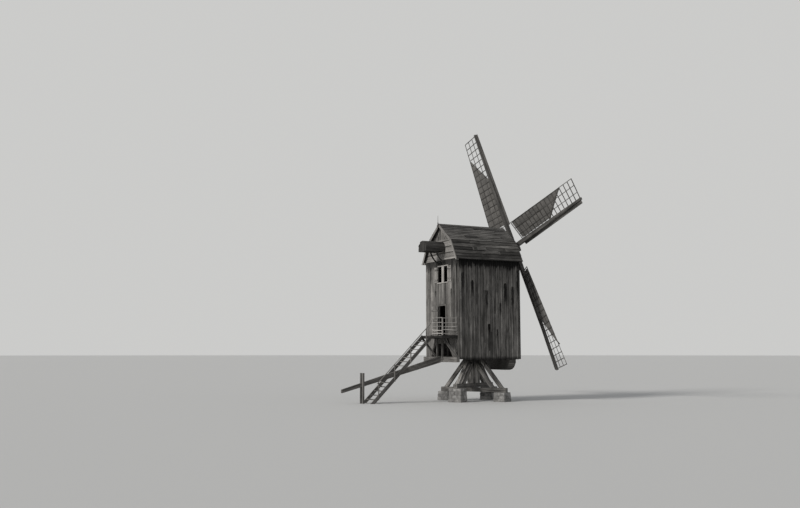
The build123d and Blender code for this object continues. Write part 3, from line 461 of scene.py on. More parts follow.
PORCH_BEAM = 0.15
PORCH_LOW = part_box("porch_frame")[1].z - PORCH_BEAM
PORCH_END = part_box("porch_frame")[1].y - PORCH_BEAM
SILL_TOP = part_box("tail_frame")[0].z + 0.34
COLLAR_TOP = EAVES + 1.185 + 0.11
DOOR_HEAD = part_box("door_frame")[1].z - 0.09
HATCH = (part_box("hatch_frame")[0].z + 0.07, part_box("hatch_frame")[1].z - 0.07)
QUARTERBAR_RISE = 1.234
POLE_FALL = 0.281
LADDER_RUN = 4.15
LADDER_RISE = 4.18
KNEE_GRAIN = grain_along((0, PORCH_END + 0.04 - TAIL, PORCH_LOW - SILL_TOP))
PORCH_GRAIN = grain_beyond(2, PORCH_LOW, KNEE_GRAIN, grain_beyond(1, PORCH_END, LENGTHWAYS, ACROSS))
VERGE_GRAIN = grain_beyond(
    2,
    EAVES + BREAK_RISE,
    grain_along((BREAK_X - HALF_WIDTH, 0, BREAK_RISE), True),
    grain_along((-BREAK_X, 0, RIDGE_RISE - BREAK_RISE), True),
)
HATCH_GRAIN = grain_beyond(2, HATCH[0], ACROSS, grain_beyond(2, HATCH[1], UPRIGHT, ACROSS))

# Name, grain, pale tone, dark tone, the nodes that are made of it, and what else it has
TIMBERS = (
    ("timber_across", ACROSS, 0.25, 0.07,
     "crown_tree shaft_beams shaft_bearings porch_floor porch_railing ladder_treads"),
    ("timber_lengthways", LENGTHWAYS, 0.22, 0.06, "sheers side_rails floors"),
    ("timber_upright", UPRIGHT, 0.22, 0.06, "wall_posts door_leaf hatch_shutters pole_legs"),
    ("shaded_timber", LENGTHWAYS, 0.07, 0.018,
     "side_walls tail_wall breast_wall roof hoist_hood hood_supports"),
    ("apron_timber", LENGTHWAYS, 0.14, 0.04, "breast_apron"),
    # The trestle's bars and post get a band of painted shadow under the body, and the porch beam
    # one under the porch floor.
    ("trestle_timber", arm_grain(QUARTERBAR_RISE), 0.42, 0.055, "quarterbars",
     {"checks": 0.7, "drip": 2.85, "damp": 0.35}),
    ("crosstree_timber", arm_grain(0.0), 0.26, 0.06, "crosstrees"),
    ("post_timber", UPRIGHT, 0.50, 0.07, "main_post",
     {"checks": 0.65, "drip": 2.85, "damp": 0.35}),
    ("stock_timber", wheel_grain, 0.13, 0.03, "stocks leading_boards"),
    ("lattice_timber", wheel_grain, 0.13, 0.035,
     "sail_frame_a sail_frame_b sail_frame_c sail_frame_d", {"bump": 0.003}),
    ("shaft_timber", grain_along(sail_direction(0)[2]), 0.20, 0.06, "windshaft"),
    ("pole_timber", grain_along((0, 1, -POLE_FALL)), 0.17, 0.045, "tail_pole"),
    ("ladder_timber", grain_along((0, LADDER_RUN, -LADDER_RISE)), 0.20, 0.06,
     "ladder_strings ladder_handrail"),
    ("verge_timber", VERGE_GRAIN, 0.32, 0.11, "verge_boards"),
    ("gable_timber", grain_beyond(2, COLLAR_TOP, ACROSS, UPRIGHT), 0.36, 0.13, "gable_frame"),
    ("door_frame_timber", grain_beyond(2, DOOR_HEAD, UPRIGHT, ACROSS), 0.22, 0.06, "door_frame"),
    ("hatch_timber", HATCH_GRAIN, 0.48, 0.20, "hatch_frame"),
    # Painted shadow band over the porch beam under the floor.
    ("porch_timber", PORCH_GRAIN, 0.24, 0.06, "porch_frame",
     {"drip": PORCH_LOW + 0.10, "damp": 0.35}),
    ("tail_timber", grain_beyond(2, SILL_TOP, ACROSS, UPRIGHT), 0.25, 0.07, "tail_frame"),
)
NODE_FINISH = {"piers": STONE, "finial": IRON, "ladder_pins": IRON}
NODE_FINISH.update({f"sail_cloth_{letter}": CANVAS for letter in "abcd"})
for wood, grain, pale, dark, nodes, *more in TIMBERS:
    finish = weathered_wood(wood, grain, pale, dark, **dict(*more))
    NODE_FINISH.update(dict.fromkeys(nodes.split(), finish))
TIMBER_WEAR = 0.008
LATTICE_WEAR = 0.004


def wear_edges(piece, width, angle=40, segments=1):
    """Takes the sharpness off every edge that turns by more than an angle."""
    worn = piece.modifiers.new("worn_edges", "BEVEL")
    worn.width = width
    worn.segments = segments
    worn.limit_method = "ANGLE"
    worn.angle_limit = math.radians(angle)


def dress_frame():
    """Every node gets its finish, and every timber but the crown tree gets worn edges."""
    for name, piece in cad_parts.items():
        piece.data.materials.clear()
        piece.data.materials.append(NODE_FINISH[name])
        if NODE_FINISH[name] is CANVAS or name == "crown_tree":
            continue
        weld = piece.modifiers.new("joined", "WELD")
        weld.merge_threshold = 0.00005
        wear_edges(piece, LATTICE_WEAR if name.startswith("sail_frame") else TIMBER_WEAR, 35)


dress_frame()


# Boards

SEAT = 0.0005  # how far boards stand off the solids behind them
JOINT = 0.002  # half of the open joint between two boards
BOARD_TONES = (0.5, 0.2)  # middle and spread
FRAME_LAP = 0.03
GABLE_ROWS = (9.34, 10.50)
GABLE_HEAD = (10.55, 11.62)
SHAFT_HOLE = 0.36
SHAFT_RISE = (9.72, 10.46)
WALL_TOP = EAVES - 0.045
SIDE_HOLES = ((1.38, 7.76, 0.055, 0.055), (-1.11, 7.64, 0.055, 0.055), (0.15, 4.83, 0.055, 0.19))
TAIL_HOLES = ((-1.23, 7.25, 0.055, 0.055), (0.84, 7.22, 0.055, 0.055))
NAIL_LEVELS = (2.86, 4.12, 5.42, 6.80, 8.05, 9.12)
NAIL_PLACES = []


def face_of(origin, across, along, out):
    """Matrix of a flat face: boards on it are laid by their places across, along and out."""
    turn = Matrix((across, along, out)).transposed().to_4x4()
    return Matrix.Translation(origin) @ turn


def tail_face(y):
    return face_of((0, y, 0), X, Z, Y)


def start_boards():
    bm = bmesh.new()
    bm.loops.layers.uv.new("grain")
    bm.loops.layers.uv.new("rim")
    bm.faces.layers.float.new("tone")
    return bm


def edges_at(verts):
    return list(dict.fromkeys(edge for vert in verts for edge in vert.link_edges))


def faces_at(verts):
    return list(dict.fromkeys(face for vert in verts for face in vert.link_faces))


def add_block(bm, size):
    verts = bmesh.ops.create_cube(bm, size=1.0)["verts"]
    bmesh.ops.scale(bm, vec=size, verts=verts)
    return verts


def add_cone(bm, sides, wide, narrow, depth, place, closed=True):
    return bmesh.ops.create_cone(
        bm, cap_ends=closed, segments=sides, radius1=wide, radius2=narrow, depth=depth, matrix=place
    )["verts"]


def held(tone):
    return min(1.0, max(0.0, tone))


def paint_grain(bm, faces, size, rng, tone):
    """Gives new faces their tone, their grain and their place between the board's edges,
    from places that aren't yet turned."""
    uv, rim = (bm.loops.layers.uv[name] for name in ("grain", "rim"))
    shift = (rng.uniform(0, 40), rng.uniform(0, 40))
    for face in faces:
        face[bm.faces.layers.float["tone"]] = tone
        for loop in face.loops:
            place = loop.vert.co
            loop[uv].uv = (place.x + place.z + shift[0], place.y + shift[1])
            loop[rim].uv = (place.x / size[0], place.y / size[1])


def cut_piece(bm, geom, point, normal, tone):
    """Cuts a piece off beyond a plane and closes it there."""
    cut = bmesh.ops.bisect_plane(
        bm, geom=geom, plane_co=point, plane_no=normal, dist=0.0002, clear_outer=True
    )
    left, rim = ([item for item in cut[key] if item.is_valid] for key in ("geom", "geom_cut"))
    rim = [item for item in rim if isinstance(item, bmesh.types.BMEdge)]
    if not rim:
        return left
    closed = bmesh.ops.holes_fill(bm, edges=rim)["faces"]
    for face in closed:
        face[bm.faces.layers.float["tone"]] = tone
    return left + closed


def lay_board(bm, face, across, along, out, tone, rng, lean=0.0, skew=0.0, cuts=()):
    """One board: its spans across, along and out from a face, tipped on edge by lean,
    turned on the face by skew, and cut off beyond each of the planes in cuts."""
    spans = (across, along, out)
    size = [high - low for low, high in spans]
    if size[0] < 0.012 or size[1] < 0.02:
        return
    tone = held(tone)
    verts = add_block(bm, size)
    faces = faces_at(verts)
    geom = verts + edges_at(verts) + faces
    paint_grain(bm, faces, size, rng, tone)
    middle = Matrix.Translation([sum(span) / 2 for span in spans])
    turn = Matrix.Rotation(skew, 4, "Z") @ Matrix.Rotation(lean, 4, "Y")
    bmesh.ops.transform(bm, matrix=face @ middle @ turn, verts=verts)
    for point, normal in cuts:
        geom = cut_piece(bm, geom, point, normal, tone)
        if not geom:
            return


def board_edges(low, high, rng, narrow, wide, kept=()):
    """Spans of a row of boards of uneven widths, with an edge at each kept place."""
    stops = sorted({low, high, *(place for place in kept if low < place < high)})
    edges = [low]
    for start, end in zip(stops, stops[1:]):
        boards = max(1, round((end - start) / ((narrow + wide) / 2)))
        shares = [rng.uniform(narrow, wide) for _ in range(boards)]
        for share in shares:
            edges.append(edges[-1] + share * (end - start) / sum(shares))
        edges[-1] = end
    return list(zip(edges, edges[1:]))


def open_spans(low, high, blocked):
    """What is left of a span when the blocked spans are taken out of it."""
    spans = []
    for start, end in sorted(blocked):
        if start > low:
            spans.append((low, min(start, high)))
        low = max(low, end)
    if low < high:
        spans.append((low, high))
    return spans


def joined_lengths(low, high, rng, chance, shortest=0.9):
    """A long span made up of one to three boards end to end."""
    joints = []
    if high - low > 2 * shortest + 0.6 and rng.random() < chance:
        joints.append(rng.uniform(low + shortest, high - shortest))
        if high - low > 4.5 and rng.random() < 0.35:
            joints.append(rng.uniform(low + shortest, high - shortest))
    stops = sorted([low, high, *joints])
    return [(a, b) for a, b in zip(stops, stops[1:]) if b - a > 0.05]


def add_object(name, data):
    made = bpy.data.objects.new(name, data)
    bpy.context.scene.collection.objects.link(made)
    return made


def add_mesh(bm, name, material):
    mesh = bpy.data.meshes.new(name)
    bm.to_mesh(mesh)
    bm.free()
    mesh.materials.append(material)
    return add_object(name, mesh)


def finish_piece(bm, name, material, body="buck", edge=0.003, replaced=None):
    """Turns a mesh into a piece of the mill that rides on a body."""
    bmesh.ops.recalc_face_normals(bm, faces=bm.faces)
    piece = add_mesh(bm, name, material)
    if edge:
        wear_edges(piece, edge)
    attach(piece, body)
    if replaced:
        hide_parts(replaced)
    return piece


def roof_cuts(drop):
    """Planes under the roof's four slopes, that much below them."""
    cuts = []
    for side in (-1, 1):
        for low, high in ROOF_SLOPES:
            run = Vector((high[0] - low[0], 0, high[1] - low[1])).normalized()
            normal = Vector((side * run.z, 0, -run.x))
            cuts.append((Vector((side * low[0], 0, low[1])) - normal * drop, normal))
    return cuts


UNDER_ROOF = roof_cuts(0.012)


def raise_board(bm, face, span, rise, tone, rng, cuts=()):
    """An upright wall board with uneven edges and a slight tilt, nailed to the rails behind it."""
    gap = rng.uniform(0.002, 0.007)
    depth = rng.uniform(0.015, 0.024)
    lean = rng.uniform(-0.012, 0.012)
    skew = rng.gauss(0, 0.0012)
    across = (span[0] + gap / 2, span[1] - gap / 2)
    lay_board(bm, face, across, rise, (SEAT, depth), tone, rng, lean, skew, cuts)
    wide = span[1] - span[0]
    for level in NAIL_LEVELS:
        if rise[0] + 0.05 < level < rise[1] - 0.03 and wide > 0.08 and not cuts:
            for share in (0.22, 0.78):
                place = (span[0] + share * wide, level + rng.uniform(-0.012, 0.012), depth)
                NAIL_PLACES.append(face @ Matrix.Translation(place))


def board_side(side, name, seed):
    """Upright boards on a side wall, stained dark below the small openings."""
    rng = random.Random(seed)
    face = face_of((side * HALF_WIDTH, 0, 0), Y, Z, (side, 0, 0))
    bm = start_boards()
    kept = [place + half for place, _, wide, _ in SIDE_HOLES for half in (-wide, wide)]
    for span in board_edges(-BREAST - 0.012, TAIL - 0.005, rng, 0.13, 0.22, kept):
        middle = sum(span) / 2
        holes = [hole for hole in SIDE_HOLES if abs(hole[0] - middle) < hole[2]]
        blocked = [(z - tall, z + tall) for _, z, _, tall in holes]
        base = rng.gauss(0.48, 0.25)
        for low, high in open_spans(BOTTOM + rng.uniform(-0.04, 0.015), WALL_TOP, blocked):
            if holes and low < holes[0][1]:
                stain = rng.uniform(0.7, 1.5)
                lengths = [(low, high - stain, base), (high - stain, high, 0.02)]
            else:
                joined = joined_lengths(low, high, rng, 0.6)
                lengths = [(a, b, base + rng.gauss(0, 0.10)) for a, b in joined]
            for start, end, tone in lengths:
                rise = (start, end - rng.uniform(0.001, 0.006))
                raise_board(bm, face, span, rise, tone, rng)
    finish_piece(bm, name, SIDE_BOARD)


def void_cuts(span):
    """Where a tail board is cut off above the open space under the porch."""
    middle = sum(span) / 2
    for (low, high), inward in zip(VOID, (1, -1)):
        if min(low, high) < middle < max(low, high):
            run = Vector((high - low, 0, VOID_TOP - BOTTOM)).normalized()
            return [(Vector((low, 0, BOTTOM)), Vector((run.z, 0, -run.x)) * inward)]
    return []


def board_tail():
    """Upright boards on the tail wall round its door, hatch and open lower part."""
    rng = random.Random(31)
    bm = start_boards()
    blocks = [((x - wide, x + wide), (z - tall, z + tall)) for x, z, wide, tall in TAIL_HOLES]
    for name, sill in (("door_frame", -0.02), ("hatch_frame", 0.03)):
        low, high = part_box(name)
        across = (low.x + FRAME_LAP, high.x - FRAME_LAP)
        blocks.append((across, (low.z + sill, high.z - FRAME_LAP)))
    kept = [place for across, _ in (*blocks, (VOID[0], 0), (VOID[1], 0)) for place in across]
    for span in board_edges(-HALF_WIDTH, HALF_WIDTH, rng, 0.15, 0.25, kept):
        middle = sum(span) / 2
        blocked = [rise for across, rise in blocks if across[0] < middle < across[1]]
        low = VOID_TOP if VOID[0][1] < middle < VOID[1][1] else BOTTOM + 0.1
        base = rng.gauss(0.5, 0.20)
        for start, end in open_spans(low, WALL_TOP, blocked):
            for a, b in joined_lengths(start, end, rng, 0.7, 0.7):
                cuts = void_cuts(span) if a < 3.8 else ()
                tone = base + rng.gauss(0, 0.12)
                raise_board(bm, tail_face(TAIL), span, (a, b - 0.004), tone, rng, cuts)
    finish_piece(bm, "tail_boards", TAIL_BOARD)


def board_gable():
    """Level boards on the tail gable up to its collar, and upright boards above that."""
    rng = random.Random(57)
    bm = start_boards()
    level = face_of((0, TAIL, 0), Z, X, Y)
    for low, high in board_edges(*GABLE_ROWS, rng, 0.36, 0.42):
        joints = sorted(rng.uniform(-1.2, 1.2) for _ in range(rng.choice((0, 1, 1))))
        stops = [-HALF_WIDTH, *joints, HALF_WIDTH]
        for a, b in zip(stops, stops[1:]):
            tone = rng.gauss(0.58, 0.14)
            lean = rng.uniform(0.065, 0.085)
            spans = ((low - 0.035, high + 0.004), (a, b - 0.005), (0.012, 0.032))
            lay_board(bm, level, *spans, tone, rng, lean, rng.gauss(0, 0.002), UNDER_ROOF)
    for span in board_edges(-BREAK_X, BREAK_X, rng, 0.16, 0.24):
        tone = rng.gauss(0.22, 0.12)
        raise_board(bm, tail_face(TAIL), span, GABLE_HEAD, tone, rng, UNDER_ROOF)
    finish_piece(bm, "gable_boards", GABLE_BOARDING)


def board_breast():
    """Upright boards over the whole breast, down to the foot of its rounded apron."""
    rng = random.Random(83)
    face = face_of((0, -BREAST, 0), X, Z, (0, -1, 0))
    bm = start_boards()
    half = APRON[1].x
    round_from = half - APRON_RADIUS
    kept = (-half, half, -SHAFT_HOLE, SHAFT_HOLE)
    for span in board_edges(-HALF_WIDTH, HALF_WIDTH, rng, 0.17, 0.26, kept):
        middle = sum(span) / 2
        blocked = [SHAFT_RISE] if abs(middle) < SHAFT_HOLE else []
        low, cuts = APRON[0].z, []
        if abs(middle) > half:
            low = BOTTOM
        elif abs(middle) > round_from:
            angle = math.asin(min(0.97, (abs(middle) - round_from) / APRON_RADIUS))
            normal = Vector((math.copysign(math.sin(angle), middle), 0, -math.cos(angle)))
            centre = Vector((math.copysign(round_from, middle), 0, low + APRON_RADIUS))
            cuts.append((centre + normal * APRON_RADIUS, normal))
        base = rng.gauss(0.5, 0.17)
        for start, end in open_spans(low, GABLE_HEAD[1], blocked):
            for a, b in joined_lengths(start, end, rng, 0.9):
                here = (cuts if a < 3.5 else []) + (UNDER_ROOF if b > 9.0 else [])
                tone = base + rng.gauss(0, 0.10)
                raise_board(bm, face, span, (a, b - 0.004), tone, rng, here)
    finish_piece(bm, "breast_boards", BREAST_BOARD)


APRON_STRIPS = 6


def board_apron():
    """Short boards round the underside of the apron, each running back from the breast."""
    rng = random.Random(67)
    low, high = APRON
    depth = high.y - low.y
    flat = high.x - APRON_RADIUS
    bm = start_boards()
    base = face_of((0, low.y, low.z), X, Y, (0, 0, -1))
    for a, b in board_edges(-flat, flat, rng, 0.15, 0.23):
        along = (JOINT, depth - rng.uniform(0, 0.01))
        out = (SEAT, rng.uniform(0.014, 0.02))
        lay_board(bm, base, (a + JOINT, b - JOINT), along, out, rng.gauss(*BOARD_TONES), rng)
    reach = APRON_RADIUS * math.pi / 2 / APRON_STRIPS / 2 + 0.004
    for side in (-1, 1):
        for strip in range(APRON_STRIPS):
            angle = math.pi / 2 * (strip + 0.5) / APRON_STRIPS
            out = Vector((side * math.sin(angle), 0, -math.cos(angle)))
            place = Vector((side * flat, low.y, low.z + APRON_RADIUS)) + out * APRON_RADIUS
            face = face_of(place, out.cross(Vector(Y)), Y, out)
            spans = ((-reach, reach), (JOINT, depth - rng.uniform(0, 0.01)), (-0.007, 0.016))
            lay_board(bm, face, *spans, rng.gauss(*BOARD_TONES), rng)
    finish_piece(bm, "apron_boards", APRON_BOARD)


ROOF_ENDS = (-2.43, 2.60)
ROOF_SEAT = 0.006
PATCH_DEPTHS = (0.045, 0.063)
PATCH_TONES = (0.0, 0.1, 0.62)
RIDGE_DEPTHS = (0.036, 0.060)
HOOD_STRIPS = 10
ROOF_START = (-0.185, 0.03)
ROOF_OVER = (0.03, -0.02)
# Painted light: the lower slope's boards darker and the upper slope's lighter, as the light falls
# on the two slopes.
ROOF_LIT_AND_SHADED_TONES = (0.08, 0.84)
RIDGE_LENGTHS = ((-2.46, -0.9), (-0.89, 0.95), (0.96, 2.62))
RIDGE_WIDTH = 0.19


def slope_face(side, slope):
    """Face on top of the roof boards of a slope, and how far it is up to its upper edge."""
    low, high = slope
    run = Vector((side * (high[0] - low[0]), 0, high[1] - low[1]))
    length = run.length
    run.normalize()
    out = Vector((side * abs(run.z), 0, abs(run.x)))
    return face_of(Vector((side * low[0], 0, low[1])) + out * ROOF_BOARD, run, Y, out), length


def board_slope(bm, rng, side, slope, start, over, shade):
    """Level roof boards up one slope, each lapped over the one below it, their rows toned round the
    slope's painted light or shade.
    """
    face, length = slope_face(side, slope)
    for a, b in board_edges(start, length + over, rng, 0.19, 0.27):
        joints = sorted(rng.uniform(-1.7, 1.8) for _ in range(rng.choice((1, 2, 2))))
        stops = [ROOF_ENDS[0], *joints, ROOF_ENDS[1]]
        # Each row's tone centres on its slope's painted light or shade.
        row = rng.gauss(shade, 0.14)
        for c, d in zip(stops, stops[1:]):
            if d - c < 0.25:
                continue
            foot = a - (rng.uniform(0.015, 0.075) if a == start else rng.uniform(0.02, 0.04))
            lap = rng.uniform(0.022, 0.032)
            along = (c + rng.uniform(-0.03, 0.003), d - rng.uniform(0.0, 0.008))
            lean = math.atan2(lap, b - foot)
            depth = rng.uniform(0.016, 0.024)
            out = (ROOF_SEAT + lap / 2, ROOF_SEAT + lap / 2 + depth)
            tone = row + rng.gauss(0, 0.20)
            lay_board(bm, face, (foot, b + 0.01), along, out, tone, rng, lean, rng.gauss(0, 0.0022))


def patch_slope(bm, rng, side, slope):
    """Short mending boards nailed over the worst places."""
    face, length = slope_face(side, slope)
    for _ in range(3):
        low = rng.uniform(0.15, length - 0.45)
        start = rng.uniform(-2.0, 1.4)
        across = (low, low + rng.uniform(0.22, 0.32))
        along = (start, start + rng.uniform(0.6, 1.2))
        tone = rng.choice(PATCH_TONES)
        lay_board(bm, face, across, along, PATCH_DEPTHS, tone, rng, 0.05, rng.gauss(0, 0.02))


def board_roof(side, name):
    """Both slopes of one side, with their patches and the boards along the ridge."""
    rng = random.Random(101 + side)
    bm = start_boards()
    for slope, *rest in zip(ROOF_SLOPES, ROOF_START, ROOF_OVER, ROOF_LIT_AND_SHADED_TONES):
        board_slope(bm, rng, side, slope, *rest)
    for slope in ROOF_SLOPES:
        patch_slope(bm, rng, side, slope)
    face, length = slope_face(side, ROOF_SLOPES[1])
    across = (length - RIDGE_WIDTH, length + (0.006 if side < 0 else 0.03))
    for along in RIDGE_LENGTHS:
        lay_board(bm, face, across, along, RIDGE_DEPTHS, 0.75, rng)
    finish_piece(bm, name, ROOF_BOARDING)


def board_hood():
    """Boards bent round the hoist hood and upright boards over its outer end."""
    rng = random.Random(71)
    low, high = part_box("hoist_hood")
    half = (high.x - low.x) / 2
    side_top = high.z - half
    bm = start_boards()
    reach = (half * math.pi / HOOD_STRIPS + 0.022) / 2
    for strip in range(HOOD_STRIPS):
        angle = math.pi * (strip + 0.5) / HOOD_STRIPS
        out = Vector((math.cos(angle), 0, math.sin(angle)))
        face = face_of(Vector((0, 0, side_top)) + out * half, Vector((-out.z, 0, out.x)), Y, out)
        spans = ((-reach, reach), (TAIL + JOINT, high.y + rng.uniform(0.02, 0.06)), (0.0, 0.022))
        lay_board(bm, face, *spans, rng.gauss(*BOARD_TONES), rng, 0.05)
    for side in (-1, 1):
        face = face_of((side * half, 0, 0), Z, Y, (side, 0, 0))
        spans = ((low.z - 0.02, side_top + 0.02), (TAIL + JOINT, high.y + 0.04), (0.0, 0.02))
        lay_board(bm, face, *spans, 0.4, rng)
    for span in board_edges(-half, half, rng, 0.15, 0.21):
        place = math.asin(max(-0.9, min(0.9, sum(span) / 2 / half)))
        normal = Vector((math.sin(place), 0, math.cos(place)))
        cuts = [(Vector((0, 0, side_top)) + normal * (half - 0.004), normal)]
        rise = (low.z - rng.uniform(0.01, 0.05), high.z + 0.3)
        raise_board(bm, tail_face(high.y), span, rise, rng.gauss(*BOARD_TONES), rng, cuts)
    finish_piece(bm, "hood_boards", HOOD_BOARDING)


def plank_porch():
    """Porch planks with open joints and uneven ends."""
    rng = random.Random(17)
    low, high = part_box("porch_floor")
    bm = start_boards()
    for a, b in board_edges(low.x, high.x, rng, 0.17, 0.25):
        along = (low.y + 0.001, high.y - rng.uniform(0, 0.012))
        out = (0.0, high.z - low.z - rng.uniform(0, 0.003))
        face = face_of((0, 0, low.z), X, Y, Z)
        lay_board(bm, face, (a + 0.004, b - 0.004), along, out, rng.gauss(*BOARD_TONES), rng)
    finish_piece(bm, "porch_planks", PLANK, "buck", 0.005, "porch_floor")


LEDGE_HALF = 0.055
LEDGE_OUT = 0.030


def ledged_boards(bm, rng, face, across, rise, ledges, base):
    """A batten leaf: upright boards with level ledges nailed across them."""
    for low, high in board_edges(*across, rng, 0.14, 0.20):
        spans = ((low + JOINT, high - JOINT), rise, (SEAT, 0.014))
        lay_board(bm, face, *spans, base + rng.gauss(0, 0.16), rng)
    turned = face @ Matrix((Y, X, Z)).to_4x4()
    for level in ledges:
        along = (across[0] + 0.035, across[1] - 0.035)
        tone = base + rng.gauss(0, 0.1)
        spans = ((level - LEDGE_HALF, level + LEDGE_HALF), along, (0.013, LEDGE_OUT))
        lay_board(bm, turned, *spans, tone, rng)
        for low, high in board_edges(across[0] + 0.05, across[1] - 0.05, rng, 0.14, 0.20):
            for lift in (-0.025, 0.025):
                place = ((low + high) / 2, level + lift, LEDGE_OUT)
                NAIL_PLACES.append(face @ Matrix.Translation(place))


DOOR_WIDTH = 0.858
SHUTTER_WIDTH = 0.48
SHUTTER_LEDGE = 0.19


def board_door():
    """Boards and ledges on the face of the door leaf that shows while it stands open."""
    low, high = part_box("door_leaf")
    bm = start_boards()
    rise = (low.z + JOINT, high.z - JOINT)
    ledges = (low.z + 0.30, low.z + 0.98, high.z - 0.28)
    across = (high.x - DOOR_WIDTH, high.x)
    NAIL_PLACES.clear()
    ledged_boards(bm, random.Random(91), tail_face(high.y), across, rise, ledges, 0.55)
    finish_piece(bm, "door_boards", DOOR_BOARD, "door")
    drive_nails("door_nails", NAIL_PLACES, "door")


def board_shutters():
    """The two hatch shutters, turned back flat on the wall."""
    low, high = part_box("hatch_shutters")
    bm = start_boards()
    rng = random.Random(37)
    rise = (low.z + JOINT, high.z - JOINT)
    ledges = (low.z + SHUTTER_LEDGE, high.z - SHUTTER_LEDGE)
    for across in ((low.x, low.x + SHUTTER_WIDTH), (high.x - SHUTTER_WIDTH, high.x)):
        ledged_boards(bm, rng, tail_face(high.y), across, rise, ledges, 0.62)
    finish_piece(bm, "shutter_boards", SHUTTER_BOARD)


def drive_nails(name, places, body):
    """Hand-made nail heads, each a low six-sided rose on the face that it is driven into."""
    rng = random.Random(len(places))
    bm = start_boards()
    for place in places:
        turn = Matrix.Rotation(rng.uniform(0, math.pi), 4, "Z")
        wide = rng.uniform(0.008, 0.011)
        place = place @ Matrix.Translation((0, 0, 0.0025)) @ turn
        add_cone(bm, 6, wide, wide * 0.35, 0.007, place)
    finish_piece(bm, name, IRON, body, 0)


# Crooked poles and posts

WHOLE = (20.0, 20.0, 20.0)  # a size that keeps the darkened board edges, dirt and painted shade, off a piece
POST_HALF = 0.04
RAIL_LEVELS = (0.12, 0.33, 0.55, 0.80, 1.09)
LADDER_DEPTH = 0.22
HANDRAIL_RISE = 0.955
HANDRAIL_POSTS = (0.10, 0.37, 0.64, 0.91)  # shares of the ladder's run
HANDRAIL_ENDS = (0.075 / LADDER_RUN, 0.935)


def rough_bar(bm, rng, start, end, thick, bow, tone, sides=8):
    """A crooked bar from start to end: a peeled pole with eight sides or a hewn post with four."""
    start, end = Vector(start), Vector(end)
    length = (end - start).length
    reach = thick * math.sqrt(2) if sides == 4 else thick
    first = len(bm.verts)
    flat = Matrix.Rotation(math.radians(-90), 4, "X") @ Matrix.Rotation(math.pi / sides, 4, "Z")
    verts = add_cone(bm, sides, reach, reach * rng.uniform(0.82, 0.95), length, flat)
    long_edges = [
        edge for edge in edges_at(verts)
        if abs(edge.verts[0].co.y - edge.verts[1].co.y) > length / 2
    ]
    bmesh.ops.subdivide_edges(bm, edges=long_edges, cuts=7)
    verts = list(bm.verts)[first:]
    faces = faces_at(verts)
    paint_grain(bm, faces, (WHOLE[0], length, WHOLE[2]), rng, held(tone))
    seed = Vector((rng.uniform(0, 90), rng.uniform(0, 90), 0))
    lean = rng.uniform(0, 2 * math.pi)
    for vert in verts:
        sway = bow * math.sin(math.pi * (vert.co.y / length + 0.5))
        knot, aside, girth = (
            noise.noise(Vector((vert.co.y * pace, row, 0)) + seed)
            for pace, row in ((2.2, 0), (2.2, 5), (4, 9))
        )
        grow = 1 + 0.16 * girth
        vert.co.x = vert.co.x * grow + sway * math.cos(lean) + bow * 0.7 * knot
        vert.co.z = vert.co.z * grow + sway * math.sin(lean) + bow * 0.7 * aside
    if sides > 4:
        for face in faces:
            face.smooth = len(face.verts) == 4
    run = (end - start).normalized()
    aside = run.cross(Vector(Z)) if abs(run.z) < 0.9 else Vector(X)
    aside.normalize()
    place = face_of((start + end) / 2, aside, run, aside.cross(run))
    bmesh.ops.transform(bm, matrix=place, verts=verts)


def rail_porch():
    """The porch railing: three hewn posts and five rows of crooked poles nailed to them."""
    rng = random.Random(29)
    low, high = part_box("porch_railing")
    near, outer, inner = low.x + POST_HALF, high.y - POST_HALF, high.x - POST_HALF
    bm = start_boards()
    for x, y in ((near, low.y + POST_HALF), (near, outer), (inner, outer)):
        top = high.z + rng.uniform(-0.01, 0.0)
        ends = ((x, y, low.z + 0.001), (x, y, top))
        rough_bar(bm, rng, *ends, 0.036, 0.006, rng.uniform(0.4, 0.8), 4)
    for level in RAIL_LEVELS:
        a, b, c, d = (low.z + level + rng.gauss(0, 0.022) for _ in range(4))
        side = ((near - 0.014, low.y + 0.012, a), (near - 0.014, high.y - 0.004, b))
        front = ((low.x + 0.002, outer + 0.012, c), (high.x + 0.03, outer + 0.012, d))
        for ends, most in ((side, 0.018), (front, 0.022)):
            thick, bow = rng.uniform(0.022, 0.030), rng.uniform(0.008, most)
            rough_bar(bm, rng, *ends, thick, bow, rng.uniform(0.3, 0.95))
    finish_piece(bm, "porch_rails", PEELED_POLE, "buck", 0.003, "porch_railing")


def rail_ladder():
    """The ladder's one handrail: a long crooked pole on four posts beside the near string."""
    rng = random.Random(43)
    low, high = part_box("ladder_handrail")
    floor_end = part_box("porch_floor")[1]
    x = (low.x + high.x) / 2
    string_top, start = floor_end.z - 0.10, floor_end.y + 0.02
    half = LADDER_DEPTH / 2 * math.hypot(string_top, LADDER_RUN) / LADDER_RUN

    def point(share, lift, aside=0.0):
        return (x, start + share * LADDER_RUN + aside, string_top * (1 - share) + lift)

    bm = start_boards()
    for share in HANDRAIL_POSTS:
        lean = rng.uniform(-0.012, 0.012)
        ends = (point(share, 0.01 - half), point(share, HANDRAIL_RISE, lean))
        rough_bar(bm, rng, *ends, 0.032, 0.006, rng.uniform(0.3, 0.7), 4)
    ends = (point(share, HANDRAIL_RISE) for share in HANDRAIL_ENDS)
    rough_bar(bm, rng, *ends, 0.029, 0.015, 0.7)
    finish_piece(bm, "ladder_rail", DARK_POLE, "ladder", 0.003, "ladder_handrail")


# Ironwork and wedges at the poll

